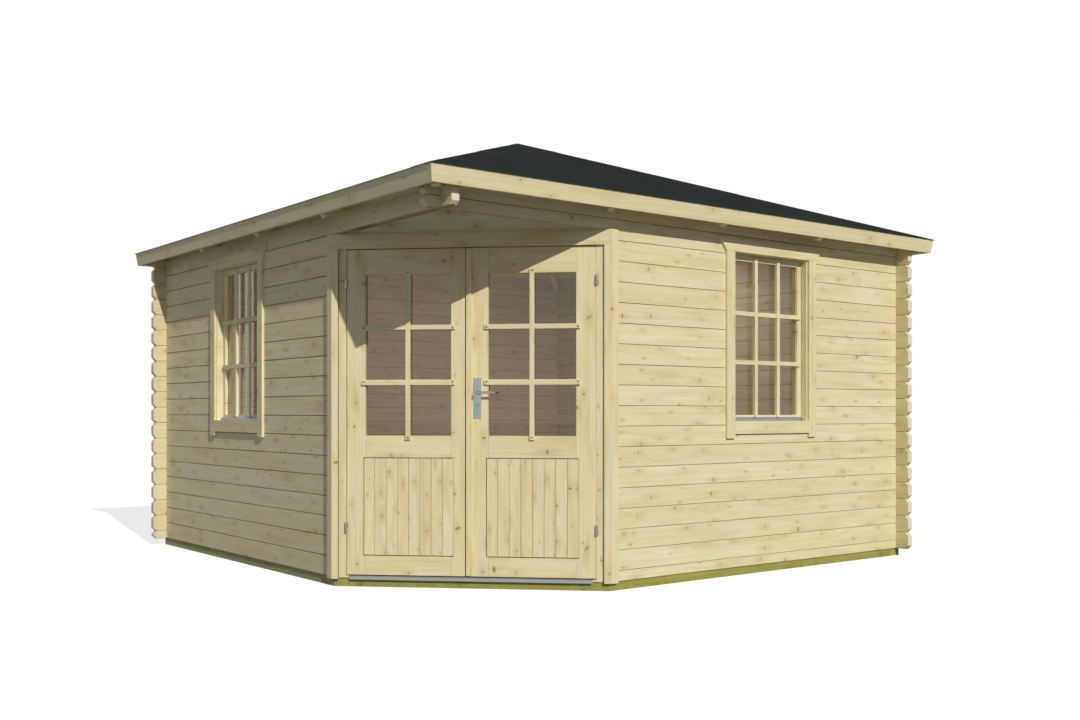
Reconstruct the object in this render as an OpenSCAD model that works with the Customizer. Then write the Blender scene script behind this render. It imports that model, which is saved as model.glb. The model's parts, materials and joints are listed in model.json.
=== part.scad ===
// Five-cornered log cabin: a square plan with one corner cut off for a double door,
// walls of notched tongue-and-groove logs and a low pyramid roof over the whole square.

/* [Walls] */
// Side of the square plan, between the outer faces of the logs
plan_side = 3760; // [3300:10:4600]
// Thickness of a wall log
log_t = 45; // [34:1:60]
// Height of one course of logs
log_h = 114; // [110:1:122]
// Number of courses up to the wall plate
courses = 18; // [18:1:21]
// Length of a log end that runs on past the wall it crosses
log_tail = 97; // [60:1:130]
// Bevel at the corners of a log end
tail_bevel = 24; // [5:1:28]
// Depth of the V at each log joint
joint_v = 3; // [1:0.5:6]
// Width of the tongue on a log
tongue_w = 12; // [8:1:16]
// Height of the tongue on a log
tongue_h = 8; // [5:1:12]
// Clearance round the tongue and beside each notch
log_play = 1; // [0.5:0.25:2]

/* [Base and floor] */
// Height of the foundation beams
beam_h = 50; // [40:1:80]
// Width of the foundation beams
beam_w = 58; // [40:1:90]
// Distance that a beam stands back from the wall face
beam_inset = 9; // [0:1:20]
// Thickness of the floor boards
floor_t = 18; // [15:1:22]
// Gap between the floor and the walls
floor_gap = 10; // [5:1:20]
// Number of floor joists
joist_count = 6; // [4:1:8]
// Width of a floor joist
joist_w = 45; // [35:1:60]

/* [Roof] */
// Pitch of the roof
roof_pitch = 20; // [15:1:28]
// Overhang of the roof covering past the wall face, level
eave_reach = 165; // [135:1:260]
// Depth of a rafter, square to its slope
rafter_depth = 97; // [70:1:120]
// Width of a rafter
rafter_w = 45; // [35:1:60]
// Distance between the rafters of one slope
rafter_pitch = 870; // [600:10:1000]
// Extra depth of the hip rafters
hip_extra = 9; // [0:1:20]
// Radius of the curve under the tail of a hip rafter
hip_curve_r = 340; // [200:10:500]
// Depth of the seat cut where a rafter sits on the plate
seat_cut = 3; // [2:1:10]
// Thickness of the roof boards
roof_board_t = 19; // [16:1:24]
// Thickness of the roofing felt
felt_t = 5; // [2:0.5:8]
// Width of the felt beyond the fascia
felt_lip = 6; // [3:1:15]
// Height of the fascia boards
fascia_h = 88; // [70:1:120]
// Thickness of the fascia boards
fascia_t = 18; // [15:1:24]
// Angle that the fascia leans in at its foot
fascia_lean = 8.5; // [0:0.5:20]
// Height of the block where the hips meet
crown_h = 165; // [130:1:220]
// Thickness of the boards that close the eaves between the rafters
filler_t = 28; // [18:1:34]
// Distance that the eaves boards stand back from the wall face
filler_in = 10; // [5:1:12]

/* [Door] */
// Width of the doorway between the posts
doorway_w = 1416; // [1300:2:1500]
// Width of a door post, from the doorway to the corner of the wall
post_w = 75.5; // [70:0.5:100]
// Height of the door head, between the doorway and the log over it
head_h = 85; // [60:1:110]
// Depth of the door posts and head
post_depth = 62; // [56:1:80]
// How far the post's door stop reaches into the doorway
stop_reach = 14; // [8:1:25]
// Gap round the door leaves
leaf_gap = 5; // [5:0.5:8]
// Gap between the two leaves
meeting_gap = 7; // [6:0.5:10]
// Distance of the meeting line from the middle, towards the fixed leaf
meeting_shift = 22; // [20:1:24]
// Height of the leaves' lower edge above the wall foot
leaf_foot = 19; // [19:1:30]
// Thickness of a door leaf
leaf_t = 42; // [38:1:48]
// Width of a leaf's stile on the hinge side
stile_w = 108; // [90:1:125]
// Distance between the glass openings of the two leaves
mid_w = 212; // [190:2:240]
// Height of the rail over the glass
top_rail_h = 141; // [110:1:160]
// Height of the glass opening's lower edge above the wall foot
door_glass_z = 802; // [760:1:860]
// Height of the rail between the glass and the panel
lock_rail_h = 122; // [100:1:150]
// Height of the lowest rail
foot_rail_h = 107; // [90:1:140]
// How much further than the glass the panel opening reaches, each side
panel_more = 15; // [5:1:20]
// Thickness of the boarded panel where it is held in its groove
door_panel_t = 14; // [12:1:18]
// Number of boards in the panel
panel_boards = 8; // [5:1:10]
// Depth of the V between two of its boards
board_v = 2.5; // [1.5:0.5:4]
// Distance of the panel's edge behind the leaf face
panel_set = 12; // [8:1:16]
// Distance of the boards' face behind the leaf face
panel_recess = 3; // [1:0.5:6]
// Gap round the panel's boards
panel_gap = 5.5; // [3:0.5:8]
// Width of the strip that covers the leaves' meeting edges
strip_w = 29; // [22:1:34]
// Thickness of the cover strip
strip_t = 14; // [10:1:18]
// Distance of the upper hinges below the leaves' upper edge
hinge_drop = 187; // [140:1:260]
// Height of the lower hinges above the wall foot
hinge_low_z = 283; // [200:1:400]
// Length of a hinge barrel
hinge_len = 52; // [44:1:90]
// Radius of a hinge barrel
hinge_r = 7; // [6:0.5:7.5]
// Radius of a hinge pin
pin_r = 3.5; // [3:0.5:4]
// Width of a hinge's flap from the pin
flap_w = 10; // [9:1:34]
// Thickness of a hinge's flap
flap_t = 2; // [1.5:0.5:3]

/* [Door trim and handle] */
// Thickness of the outside trim boards
trim_t = 16; // [12:1:22]
// Width of the trim on the wall beside the door
side_trim_w = 52; // [44:1:90]
// Width of the trim on the door posts
front_trim_w = 39; // [36:1:48]
// Height of the trim's lower edge above the wall foot
trim_foot = -6; // [-20:1:0]
// Width of the handle plate
plate_w = 43; // [36:1:50]
// Height of the handle plate
plate_h = 226; // [180:2:250]
// Thickness of the handle plate
plate_t = 3; // [2:0.5:5]
// Distance of the plate's foot below the lever
plate_drop = 145; // [110:1:160]
// Height of the lever above the wall foot
lever_z = 1043; // [1000:1:1100]
// Distance of the handle's spindle from the middle of the doorway
spindle_x = 43; // [38:1:52]
// Length of the lever from its spindle
lever_len = 110; // [90:1:130]
// Radius of the spindle
spindle_r = 8; // [6:0.5:10]
// Height of the lever's grip
grip_h = 18; // [14:1:22]
// Thickness of the lever's grip
grip_t = 11; // [8:1:14]
// Distance of the lever's grip from the plate
grip_out = 34; // [28:1:45]
// Thickness of the threshold
threshold_t = 12; // [10:0.5:12]
// Thickness of the threshold's metal strip
edge_t = 1.5; // [1:0.5:2]
// How far the strip hangs down in front
edge_drop = 11; // [8:1:40]
// How far the strip stands out in front of the wall face
edge_out = 8; // [4:1:12]

/* [Windows] */
// Width of the glass in a window
win_glass_w = 590; // [480:2:640]
// Height of the glass in a window
win_glass_h = 940; // [860:2:950]
// Width of the sash members
sash_w = 35; // [30:1:45]
// Thickness of the sash
sash_t = 40; // [32:1:50]
// Distance of the sash face behind the wall face
sash_set = 43; // [30:1:50]
// Clearance between the sash and its frame
sash_play = 3; // [1:0.5:5]
// Thickness of the window frame boards
win_frame_t = 30; // [24:1:36]
// Gap between the window frame and the logs
win_gap = 5; // [3:1:8]
// Gap over the window frame, which lets the logs settle
settle_gap = 13; // [5:1:25]
// Thickness of the stop behind the sash
win_stop_t = 12; // [8:1:20]
// How far the stop reaches behind the sash
win_stop_reach = 10; // [6:1:20]
// Width of frame that shows inside the side trims
win_reveal = 9; // [4:1:14]
// Height of frame that shows under the head trim
head_reveal = 3; // [1:1:14]
// Distance between the upright bars of a window
win_upright_step = 205; // [150:1:230]
// Distance between the level bars of a window
win_level_step = 297; // [240:1:320]
// Height of the drip bar at the foot of a sash
drip_h = 24; // [14:1:30]
// Depth of the drip bar
drip_d = 15; // [10:1:25]
// Width of the trim beside a window
win_trim_w = 70; // [60:1:80]
// Height of the trim over a window
win_head_h = 80; // [60:1:90]
// How far the head trim widens at each end
win_head_flare = 62; // [0:1:80]
// Height of the trim under a window
win_sill_h = 76; // [60:1:95]
// How far the side trims run on below the sill trim
win_horn = 26; // [0:1:50]

/* [Glazing] */
// Thickness of the glass
glass_t = 4; // [3:0.5:6]
// Depth of the groove that holds the glass
glass_edge = 7; // [5:1:10]
// Width of a glazing bar
bar_w = 26; // [18:1:34]
// Thickness of a glazing bar
bar_t = 12; // [8:1:18]
// How far the ends of a bar lie over the sash or leaf
bar_lap = 22; // [10:1:28]

/* [Hidden] */
$fn = 48;

pine = [0.86, 0.78, 0.58];
pine_light = [0.89, 0.82, 0.64];
treated = [0.50, 0.53, 0.27];
felt_colour = [0.16, 0.18, 0.18];
steel = [0.62, 0.64, 0.66];
aluminium = [0.60, 0.66, 0.72];
pane = [0.55, 0.50, 0.46, 0.4];

// Cutting shapes run past what they cut by this much
over = 5;
// Gap between boards that meet
joint = 0.6;
// Trim, felt and fitted logs lie this far off what they cover or butt against
skin = 0.1;
// Clearance round a hinge pin, and between its knuckles
pin_play = 0.3;
// Clearance round the glass and panels in their grooves
groove_play = 0.5;

// Walls
lap = log_h / 4;
wall_h = courses * log_h;
far_cross = plan_side - log_t;
porch_z = wall_h - log_h;

// Door front. The corner of the plan is cut off as far as its width asks.
half_door = doorway_w / 2;
half_front = half_door + post_w;
corner_cut = half_front * sqrt(2);
front_y = half_front - plan_side / sqrt(2);
side_start = corner_cut - log_t + post_depth * sqrt(2);
doorway_h = porch_z - head_h;
stop_y = leaf_t + leaf_gap;
leaf_edge = half_door - leaf_gap;
leaf_top = doorway_h - leaf_gap;
door_glass_w = leaf_edge - stile_w - mid_w / 2;
door_glass_h = leaf_top - top_rail_h - door_glass_z;
pane_x = (mid_w + door_glass_w) / 2;
glass_y = (leaf_t - glass_t) / 2;
door_panel_w = door_glass_w + 2 * panel_more;
door_panel_z = leaf_foot + foot_rail_h;
door_panel_h = door_glass_z - lock_rail_h - door_panel_z;
fixed_edge = -meeting_shift - meeting_gap / 2;
active_edge = -meeting_shift + meeting_gap / 2;
pin_y = -hinge_r - 1;
trim_corner = trim_t * tan(22.5);
trim_top = porch_z - joint;

// Windows
window_at = (corner_cut + plan_side) / 2;
win_glass_z = porch_z - settle_gap - win_frame_t - sash_play - sash_w - win_glass_h;
win_glass_y = sash_set + (sash_t - glass_t) / 2;
sash_out_w = win_glass_w + 2 * sash_w;
sash_out_h = win_glass_h + 2 * sash_w;
sash_back = sash_set + sash_t;
frame_in_w = sash_out_w + 2 * sash_play;
frame_in_h = sash_out_h + 2 * sash_play;
frame_in_z = win_glass_z - sash_w - sash_play;
frame_out_w = frame_in_w + 2 * win_frame_t;
frame_out_z = frame_in_z - win_frame_t;
frame_out_h = frame_in_h + 2 * win_frame_t;
trim_in_w = frame_in_w + 2 * win_reveal;
trim_out_w = trim_in_w + 2 * win_trim_w;
trim_over_z = frame_in_z + frame_in_h + head_reveal;

// Roof heights are taken at the outer wall face
slope = tan(roof_pitch);
half_plan = plan_side / 2;
rafter_rise = rafter_depth / cos(roof_pitch);
board_rise = roof_board_t / cos(roof_pitch);
felt_rise = felt_t / cos(roof_pitch);
boards_z = wall_h + rafter_rise - seat_cut;
hip_rise = rafter_rise + hip_extra;
hip_slope = slope / sqrt(2);
hip_angle = atan(hip_slope);
hip_half = rafter_w / 2;
fascia_out = eave_reach - felt_lip;
fascia_in = fascia_out - fascia_t / cos(fascia_lean);
fascia_foot_z = boards_z + board_rise - fascia_out * slope - fascia_h;
board_reach = fascia_in - board_rise * tan(fascia_lean) - joint;
crown_w = (rafter_w + 2 * joint) * (1 + sqrt(2));

// The square plan stands on one corner, with the cut-off corner towards -Y
module plan() {
  rotate([0, 0, 45])
    translate([-half_plan, -half_plan, beam_h])
      children();
}

// The door front: X along it, Y into the room from the outer face
module front() {
  translate([0, front_y, beam_h])
    children();
}

module both_sides() {
  children();
  mirror([1, 0, 0])
    children();
}

// Turns what is drawn for the right wall into the left wall's
module on_left() {
  mirror([1, -1, 0])
    children();
}

module on_back_right() {
  translate([plan_side, 0, 0])
    rotate([0, 0, 90])
      children();
}

module on_back_left() {
  translate([plan_side, plan_side, 0])
    rotate([0, 0, 180])
      children();
}

module on_both_side_walls() {
  plan() {
    children();
    on_left()
      children();
  }
}

module on_all_walls() {
  on_both_side_walls()
    children();
  plan() {
    on_back_right()
      children();
    on_back_left()
      children();
  }
}

module block(low, high) {
  translate(low)
    cube(high - low);
}

// ---------------------------------------------------------------- walls

function log_outline(h, has_groove, has_tongue) =
  let (
    mid = log_t / 2,
    half_tongue = tongue_w / 2,
    half_groove = half_tongue + log_play,
    groove_d = tongue_h + log_play
  )
  concat(
    [[joint_v, 0]],
    has_groove ? [[mid - half_groove, 0], [mid - half_groove, groove_d],
                  [mid + half_groove, groove_d], [mid + half_groove, 0]] : [],
    [[log_t - joint_v, 0], [log_t, joint_v], [log_t, h - joint_v], [log_t - joint_v, h]],
    has_tongue ? [[mid + half_tongue, h], [mid + half_tongue, h + tongue_h],
                  [mid - half_tongue, h + tongue_h], [mid - half_tongue, h]] : [],
    [[joint_v, h], [0, h - joint_v], [0, joint_v]]
  );

// A square bar along Y that bevels the edge it is centred on
module bevel_cut(x, z) {
  side = tail_bevel * sqrt(2);
  translate([x, log_t / 2, z])
    rotate([0, 45, 0])
      cube([side, log_t + 2 * over, side], center = true);
}

// Bevels a log's end at x and stops its tongue short there. dir is 1 at the far end.
module end_bevels(x, z, h, dir) {
  bevel_cut(x, z);
  bevel_cut(x, z + h);
  translate([dir > 0 ? x - tail_bevel : x - over, 0, z + h])
    cube([tail_bevel + over, log_t, tongue_h + over]);
}

// One log along X with its foot at z. It is notched above and below where other
// logs cross it, down to half its height, so that the walls lock at the corners.
module wall_log(x0, x1, z, h, crossings, near_end_shows) {
  half_log = h < log_h - 1;
  foot_log = z < 1;
  top_log = z + h > wall_h - 1;
  notch_w = log_t + 2 * log_play;
  difference() {
    translate([x0, 0, z])
      rotate([90, 0, 90])
        linear_extrude(x1 - x0)
          polygon(log_outline(h, !foot_log, !top_log));
    for (c = crossings) {
      if (!(half_log && foot_log))
        translate([c - log_play, -over, z - over])
          cube([notch_w, log_t + 2 * over, lap + over]);
      if (!(half_log && top_log))
        translate([c - log_play, -over, z + h - lap])
          cube([notch_w, log_t + 2 * over, lap + tongue_h + over]);
    }
    end_bevels(x1, z, h, 1);
    if (near_end_shows)
      end_bevels(x0, z, h, -1);
  }
}

// Each course is [foot, height]. One pair of walls starts with a whole log.
function whole_courses() = [for (k = [0 : courses - 1]) [k * log_h, log_h]];

// The other pair starts and ends with a half log, so its joints fall in between.
function half_courses() = concat(
  [[0, log_h / 2]],
  [for (k = [0 : courses - 2]) [(k + 0.5) * log_h, log_h]],
  [[wall_h - log_h / 2, log_h / 2]]
);

function every_second(list, from) = [for (i = [from : 2 : len(list) - 1]) list[i]];

module back_wall(list) {
  for (c = list)
    wall_log(-log_tail, plan_side + log_tail, c[0], c[1], [0, far_cross], true);
}

// What the window opening takes out of a log, with its tongue where it ends there
module window_hole(log_top) {
  half_hole = frame_out_w / 2 + win_gap;
  hole_top = frame_out_z + frame_out_h + settle_gap;
  cut_top = log_top < hole_top + joint_v + 1 ? log_top + tongue_h + over : hole_top;
  block([window_at - half_hole, -over, frame_out_z],
        [window_at + half_hole, log_t + over, cut_top]);
}

// A log over the door post runs on past the front and crosses its neighbour over
// the porch, sawn off level with the top of the post.
module porch_log(z, h) {
  difference() {
    wall_log(-log_tail, plan_side + log_tail, z, h, [0, far_cross], true);
    block([-log_tail - over, -over, -over], [side_start, log_t + over, porch_z]);
    bevel_cut(-log_tail, porch_z);
  }
}

module side_wall(list) {
  for (c = list) {
    log_top = c[0] + c[1];
    difference() {
      if (log_top > porch_z + 1)
        porch_log(c[0], c[1]);
      else
        wall_log(side_start, plan_side + log_tail, c[0], c[1], [far_cross], false);
      window_hole(log_top);
    }
  }
}

module left_wall_odd_courses() {
  color(pine)
    plan()
      on_left()
        side_wall(every_second(whole_courses(), 0));
}

module left_wall_even_courses() {
  color(pine_light)
    plan()
      on_left()
        side_wall(every_second(whole_courses(), 1));
}

module right_wall_odd_courses() {
  color(pine)
    plan()
      side_wall(every_second(half_courses(), 0));
}

module right_wall_even_courses() {
  color(pine_light)
    plan()
      side_wall(every_second(half_courses(), 1));
}

module back_left_wall_odd_courses() {
  color(pine)
    plan()
      on_back_left()
        back_wall(every_second(half_courses(), 0));
}

module back_left_wall_even_courses() {
  color(pine_light)
    plan()
      on_back_left()
        back_wall(every_second(half_courses(), 1));
}

module back_right_wall_odd_courses() {
  color(pine)
    plan()
      on_back_right()
        back_wall(every_second(whole_courses(), 0));
}

module back_right_wall_even_courses() {
  color(pine_light)
    plan()
      on_back_right()
        back_wall(every_second(whole_courses(), 1));
}

// The log over the door, fitted between the two porch logs
module front_wall_log() {
  outer = half_front - log_t * sqrt(2) - skin;
  inner = outer + log_t;
  color(pine)
    front()
      translate([0, 0, porch_z])
        linear_extrude(log_h)
          polygon([[-outer, 0], [outer, 0], [inner, log_t], [-inner, log_t]]);
}

// Closes the front between that log and the roof, cut out for the rafters that cross it
module front_gable() {
  reach = half_front + filler_t;
  color(pine_light)
    difference() {
      front()
        block([-reach, 0, wall_h], [reach, filler_t, wall_h + half_plan]);
      on_both_side_walls() {
        above_slope(boards_z - joint);
        block([0, -plan_side, 0], [plan_side, filler_in, 2 * wall_h]);
        translate([half_plan - rafter_pitch, 0, 0])
          rafter_bar(rafter_w + 2 * joint);
      }
      front()
        block([-hip_half - joint, -over, boards_z - hip_rise + slope * corner_cut / 2 - joint],
              [hip_half + joint, filler_t + over, 2 * wall_h]);
    }
}

// ---------------------------------------------------------------- base and floor

// Everything in front of a line that lies front_in behind the door front, in plan
module front_part(front_in) {
  reach = plan_side;
  cut = corner_cut + front_in * sqrt(2);
  polygon([[-reach, -reach], [cut + reach, -reach], [-reach, cut + reach]]);
}

// Everything behind a line that lies front_in behind the door front, in plan
module back_part(front_in) {
  reach = plan_side;
  cut = corner_cut + front_in * sqrt(2);
  polygon([[reach, cut - reach], [cut + reach, cut - reach], [cut + reach, cut + reach],
           [cut - reach, cut + reach], [cut - reach, reach]]);
}

// The plan's outline set in by side_in along the walls and by front_in at the front
module five_sided(side_in, front_in) {
  difference() {
    translate([side_in, side_in])
      square(plan_side - 2 * side_in);
    front_part(front_in);
  }
}

module foundation_beams() {
  inner = beam_inset + beam_w;
  near = inner + joint;
  color(treated)
    plan()
      translate([0, 0, -beam_h])
        linear_extrude(beam_h) {
          for (turned = [false, true])
            mirror(turned ? [1, -1, 0] : [0, 0, 0])
              difference() {
                translate([0, beam_inset])
                  square([plan_side, beam_w]);
                front_part(beam_inset);
              }
          translate([plan_side - inner, near])
            square([beam_w, plan_side - near]);
          translate([near, plan_side - inner])
            square([plan_side - inner - joint - near, beam_w]);
          difference() {
            translate([near, near])
              square(corner_cut);
            front_part(beam_inset);
            back_part(inner);
          }
        }
}

module floor_joists() {
  inner = beam_inset + beam_w + joint;
  first = inner + joist_w;
  step = (plan_side - 2 * first - joist_w) / (joist_count - 1);
  color(treated)
    plan()
      translate([0, 0, -beam_h])
        linear_extrude(beam_h)
          intersection() {
            five_sided(inner, inner);
            for (i = [0 : joist_count - 1])
              translate([0, first + i * step])
                square([plan_side, joist_w]);
          }
}

module floor_boards() {
  color(pine_light)
    plan()
      linear_extrude(floor_t)
        five_sided(log_t + floor_gap, post_depth + floor_gap);
}

// ---------------------------------------------------------------- door surround

module door_posts() {
  color(pine)
    front()
      both_sides() {
        linear_extrude(porch_z)
          polygon([
            [half_door, 0], [half_front, 0],
            [side_start / sqrt(2), (side_start - corner_cut) / sqrt(2)],
            [(side_start - log_t) / sqrt(2), post_depth],
            [half_door, post_depth]
          ]);
        block([half_door - stop_reach, stop_y, 0], [half_door, post_depth, doorway_h]);
      }
}

module door_head() {
  color(pine)
    front() {
      block([-half_door, 0, doorway_h], [half_door, post_depth, porch_z]);
      block([stop_reach - half_door, stop_y, doorway_h - stop_reach],
            [half_door - stop_reach, post_depth, doorway_h]);
    }
}

module threshold() {
  color(pine)
    front()
      difference() {
        block([-half_door, 0, 0], [half_door, post_depth, threshold_t]);
        both_sides()
          block([half_door - stop_reach, stop_y, -over],
                [half_door + over, post_depth + over, threshold_t + over]);
      }
}

// An angle strip that lies on the threshold and hangs down in front of it
module threshold_strip() {
  half = half_door - stop_reach - edge_out;
  top = threshold_t + edge_t;
  color(aluminium)
    front()
      translate([-half, 0, 0])
        rotate([90, 0, 90])
          linear_extrude(2 * half)
            polygon([
              [-edge_out, -edge_drop], [edge_t - edge_out, -edge_drop],
              [edge_t - edge_out, threshold_t], [leaf_t, threshold_t],
              [leaf_t, top], [-edge_out, top]
            ]);
}

// Boards that cover both corners of the door front, mitred there
module door_trims() {
  edge = half_front + trim_corner;
  color(pine_light) {
    on_both_side_walls()
      translate([0, 0, trim_foot])
        linear_extrude(trim_top - trim_foot)
          polygon([
            [corner_cut + joint, -skin],
            [corner_cut - trim_corner + side_trim_w, -skin],
            [corner_cut - trim_corner + side_trim_w, -trim_t],
            [corner_cut - trim_corner + joint, -trim_t]
          ]);
    front() {
      both_sides()
        translate([0, 0, trim_foot])
          linear_extrude(doorway_h - joint - trim_foot)
            polygon([
              [edge - front_trim_w, -skin], [half_front, -skin],
              [edge, -trim_t], [edge - front_trim_w, -trim_t]
            ]);
      translate([0, 0, doorway_h])
        linear_extrude(trim_top - doorway_h)
          polygon([[-half_front, -skin], [half_front, -skin], [edge, -trim_t], [-edge, -trim_t]]);
    }
  }
}

// ---------------------------------------------------------------- door leaves

// A leaf of stiles and rails between x0 and x1, grooved for its glass and its panel
module leaf_frame(x0, x1, mid) {
  glass_cut = glass_edge + groove_play;
  panel_y = panel_set;
  difference() {
    block([x0, 0, leaf_foot], [x1, leaf_t, leaf_top]);
    block([mid - door_glass_w / 2, -over, door_glass_z],
          [mid + door_glass_w / 2, leaf_t + over, door_glass_z + door_glass_h]);
    block([mid - door_glass_w / 2 - glass_cut, glass_y - groove_play, door_glass_z - glass_cut],
          [mid + door_glass_w / 2 + glass_cut, glass_y + glass_t + groove_play,
           door_glass_z + door_glass_h + glass_cut]);
    block([mid - door_panel_w / 2, -over, door_panel_z],
          [mid + door_panel_w / 2, leaf_t + over, door_panel_z + door_panel_h]);
    block([mid - door_panel_w / 2 - glass_cut, panel_y - groove_play, door_panel_z - glass_cut],
          [mid + door_panel_w / 2 + glass_cut, panel_y + door_panel_t + groove_play,
           door_panel_z + door_panel_h + glass_cut]);
  }
}

// Upright boards with a V between them on both faces. They stand proud of the edge
// that is held in the leaf's groove, with a narrow gap round them on three sides.
module leaf_panel(mid) {
  half = door_panel_w / 2;
  board_w = door_panel_w / panel_boards;
  side = board_v * sqrt(2);
  color(pine_light)
    front()
      translate([mid, 0, door_panel_z])
        difference() {
          union() {
            block([-half - glass_edge, panel_set, -glass_edge],
                  [half + glass_edge, panel_set + door_panel_t, door_panel_h + glass_edge]);
            block([panel_gap - half, panel_recess, panel_gap],
                  [half - joint, panel_set + over, door_panel_h - panel_gap]);
          }
          for (i = [1 : panel_boards - 1])
            for (y = [panel_recess, panel_set + door_panel_t])
              translate([i * board_w - half, y, door_panel_h / 2])
                rotate([0, 0, 45])
                  cube([side, side, 2 * door_panel_h], center = true);
        }
}

module leaf_glass(mid) {
  half = door_glass_w / 2 + glass_edge;
  color(pane)
    front()
      block([mid - half, glass_y, door_glass_z - glass_edge],
            [mid + half, glass_y + glass_t, door_glass_z + door_glass_h + glass_edge]);
}

// Crossed bars that lie on the face of a leaf or sash, over an opening from foot up
module glazing_bars(opening_w, opening_h, foot, foot_lap, uprights, levels) {
  half = opening_w / 2 + bar_lap;
  mid_z = foot + opening_h / 2;
  for (x = uprights)
    block([x - bar_w / 2, -bar_t, foot - foot_lap],
          [x + bar_w / 2, 0, foot + opening_h + bar_lap]);
  for (z = levels)
    block([-half, -bar_t, mid_z + z - bar_w / 2], [half, 0, mid_z + z + bar_w / 2]);
}

module leaf_bars(mid) {
  level = (door_glass_h + bar_w) / 6;
  color(pine)
    front()
      translate([mid, 0, 0])
        glazing_bars(door_glass_w, door_glass_h, door_glass_z, bar_lap, [0], [-level, level]);
}

module left_leaf() {
  color(pine)
    front()
      leaf_frame(-leaf_edge, fixed_edge, -pane_x);
}

module left_leaf_panel() {
  leaf_panel(-pane_x);
}

module left_leaf_glass() {
  leaf_glass(-pane_x);
}

module left_leaf_bars() {
  leaf_bars(-pane_x);
}

module right_leaf() {
  color(pine)
    front()
      difference() {
        leaf_frame(active_edge, leaf_edge, pane_x);
        spindle_hole();
      }
}

module right_leaf_panel() {
  leaf_panel(pane_x);
}

module right_leaf_glass() {
  leaf_glass(pane_x);
}

module right_leaf_bars() {
  leaf_bars(pane_x);
}

module cover_strip() {
  color(pine_light)
    front()
      block([active_edge, -strip_t, leaf_foot + leaf_gap],
            [active_edge + strip_w, 0, leaf_top - leaf_gap]);
}

// ---------------------------------------------------------------- hinges and handle

module for_each_hinge() {
  for (z = [hinge_low_z, leaf_top - hinge_drop])
    front()
      translate([half_door, pin_y, z])
        children();
}

// A knuckle on the pin's axis with a flap that lies against the wood, over height h
module hinge_half(h) {
  cylinder(r = hinge_r, h = h);
  block([0, 0, 0], [hinge_r / 2, -pin_y, h]);
  block([0, -pin_y - flap_t, 0], [flap_w, -pin_y, h]);
}

module frame_hinges() {
  half = (hinge_len - pin_play) / 2;
  color(steel)
    both_sides()
      for_each_hinge()
        translate([0, 0, -hinge_len / 2]) {
          hinge_half(half);
          cylinder(r = pin_r, h = hinge_len);
        }
}

module leaf_hinges() {
  half = (hinge_len - pin_play) / 2;
  color(steel)
    for_each_hinge()
      translate([0, 0, pin_play / 2])
        difference() {
          mirror([1, 0, 0])
            hinge_half(half);
          translate([0, 0, -over])
            cylinder(r = pin_r + pin_play, h = hinge_len);
        }
}

module left_leaf_hinges() {
  mirror([1, 0, 0])
    leaf_hinges();
}

module right_leaf_hinges() {
  leaf_hinges();
}

module spindle_hole() {
  translate([spindle_x, -leaf_t, lever_z])
    rotate([-90, 0, 0])
      cylinder(r = spindle_r + 1, h = 3 * leaf_t);
}

module handle_plates() {
  foot = lever_z - plate_drop;
  left = spindle_x - plate_w / 2;
  color(steel)
    front()
      difference() {
        for (y = [-plate_t, leaf_t])
          block([left, y, foot], [left + plate_w, y + plate_t, foot + plate_h]);
        spindle_hole();
      }
}

// The levers on both faces turn together on one spindle
module door_lever() {
  reach = plate_t + grip_out + grip_t;
  color(steel)
    front()
      translate([spindle_x, 0, lever_z]) {
        translate([0, -reach, 0])
          rotate([-90, 0, 0])
            cylinder(r = spindle_r, h = leaf_t + 2 * reach);
        for (y = [-reach, leaf_t + reach - grip_t]) {
          block([0, y, -grip_h / 2], [lever_len, y + grip_t, grip_h / 2]);
          for (x = [0, lever_len])
            translate([x, y, 0])
              rotate([-90, 0, 0])
                cylinder(d = grip_h, h = grip_t);
        }
      }
}

// ---------------------------------------------------------------- windows

module on_both_windows() {
  on_both_side_walls()
    translate([window_at, 0, 0])
      children();
}

// A rectangle centred in X, from foot upwards, between y0 and y1
module centred(w, h, foot, y0, y1) {
  block([-w / 2, y0, foot], [w / 2, y1, foot + h]);
}

module window_frames() {
  lip = 2 * (win_stop_reach + sash_play);
  color(pine)
    on_both_windows()
      difference() {
        centred(frame_out_w, frame_out_h, frame_out_z, 0, sash_back + win_stop_t);
        centred(frame_in_w, frame_in_h, frame_in_z, -over, sash_back);
        centred(frame_in_w - lip, frame_in_h - lip, frame_in_z + lip / 2, 0,
                sash_back + win_stop_t + over);
      }
}

module window_sashes() {
  cut = glass_edge + groove_play;
  color(pine_light)
    on_both_windows()
      difference() {
        centred(sash_out_w, sash_out_h, win_glass_z - sash_w, sash_set, sash_back);
        centred(win_glass_w, win_glass_h, win_glass_z, 0, sash_back + over);
        centred(win_glass_w + 2 * cut, win_glass_h + 2 * cut, win_glass_z - cut,
                win_glass_y - groove_play, win_glass_y + glass_t + groove_play);
      }
}

module window_glass() {
  color(pane)
    on_both_windows()
      centred(win_glass_w + 2 * glass_edge, win_glass_h + 2 * glass_edge,
              win_glass_z - glass_edge, win_glass_y, win_glass_y + glass_t);
}

module window_bars() {
  up = win_upright_step / 2;
  level = win_level_step / 2;
  foot_lap = sash_w + sash_play - drip_h - joint;
  color(pine)
    on_both_windows()
      translate([0, sash_set, 0])
        glazing_bars(win_glass_w, win_glass_h, win_glass_z, foot_lap, [-up, up], [-level, level]);
}

// A metal bar at the sash's foot with a sloping top that sheds the rain
module window_drips() {
  w = frame_in_w - 2 * sash_play;
  color(aluminium)
    on_both_windows()
      translate([-w / 2, 0, frame_in_z])
        rotate([90, 0, 90])
          linear_extrude(w)
            polygon([
              [sash_set - drip_d, 0], [sash_set, 0], [sash_set, drip_h],
              [sash_set - drip_d, drip_h / 2]
            ]);
}

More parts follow.
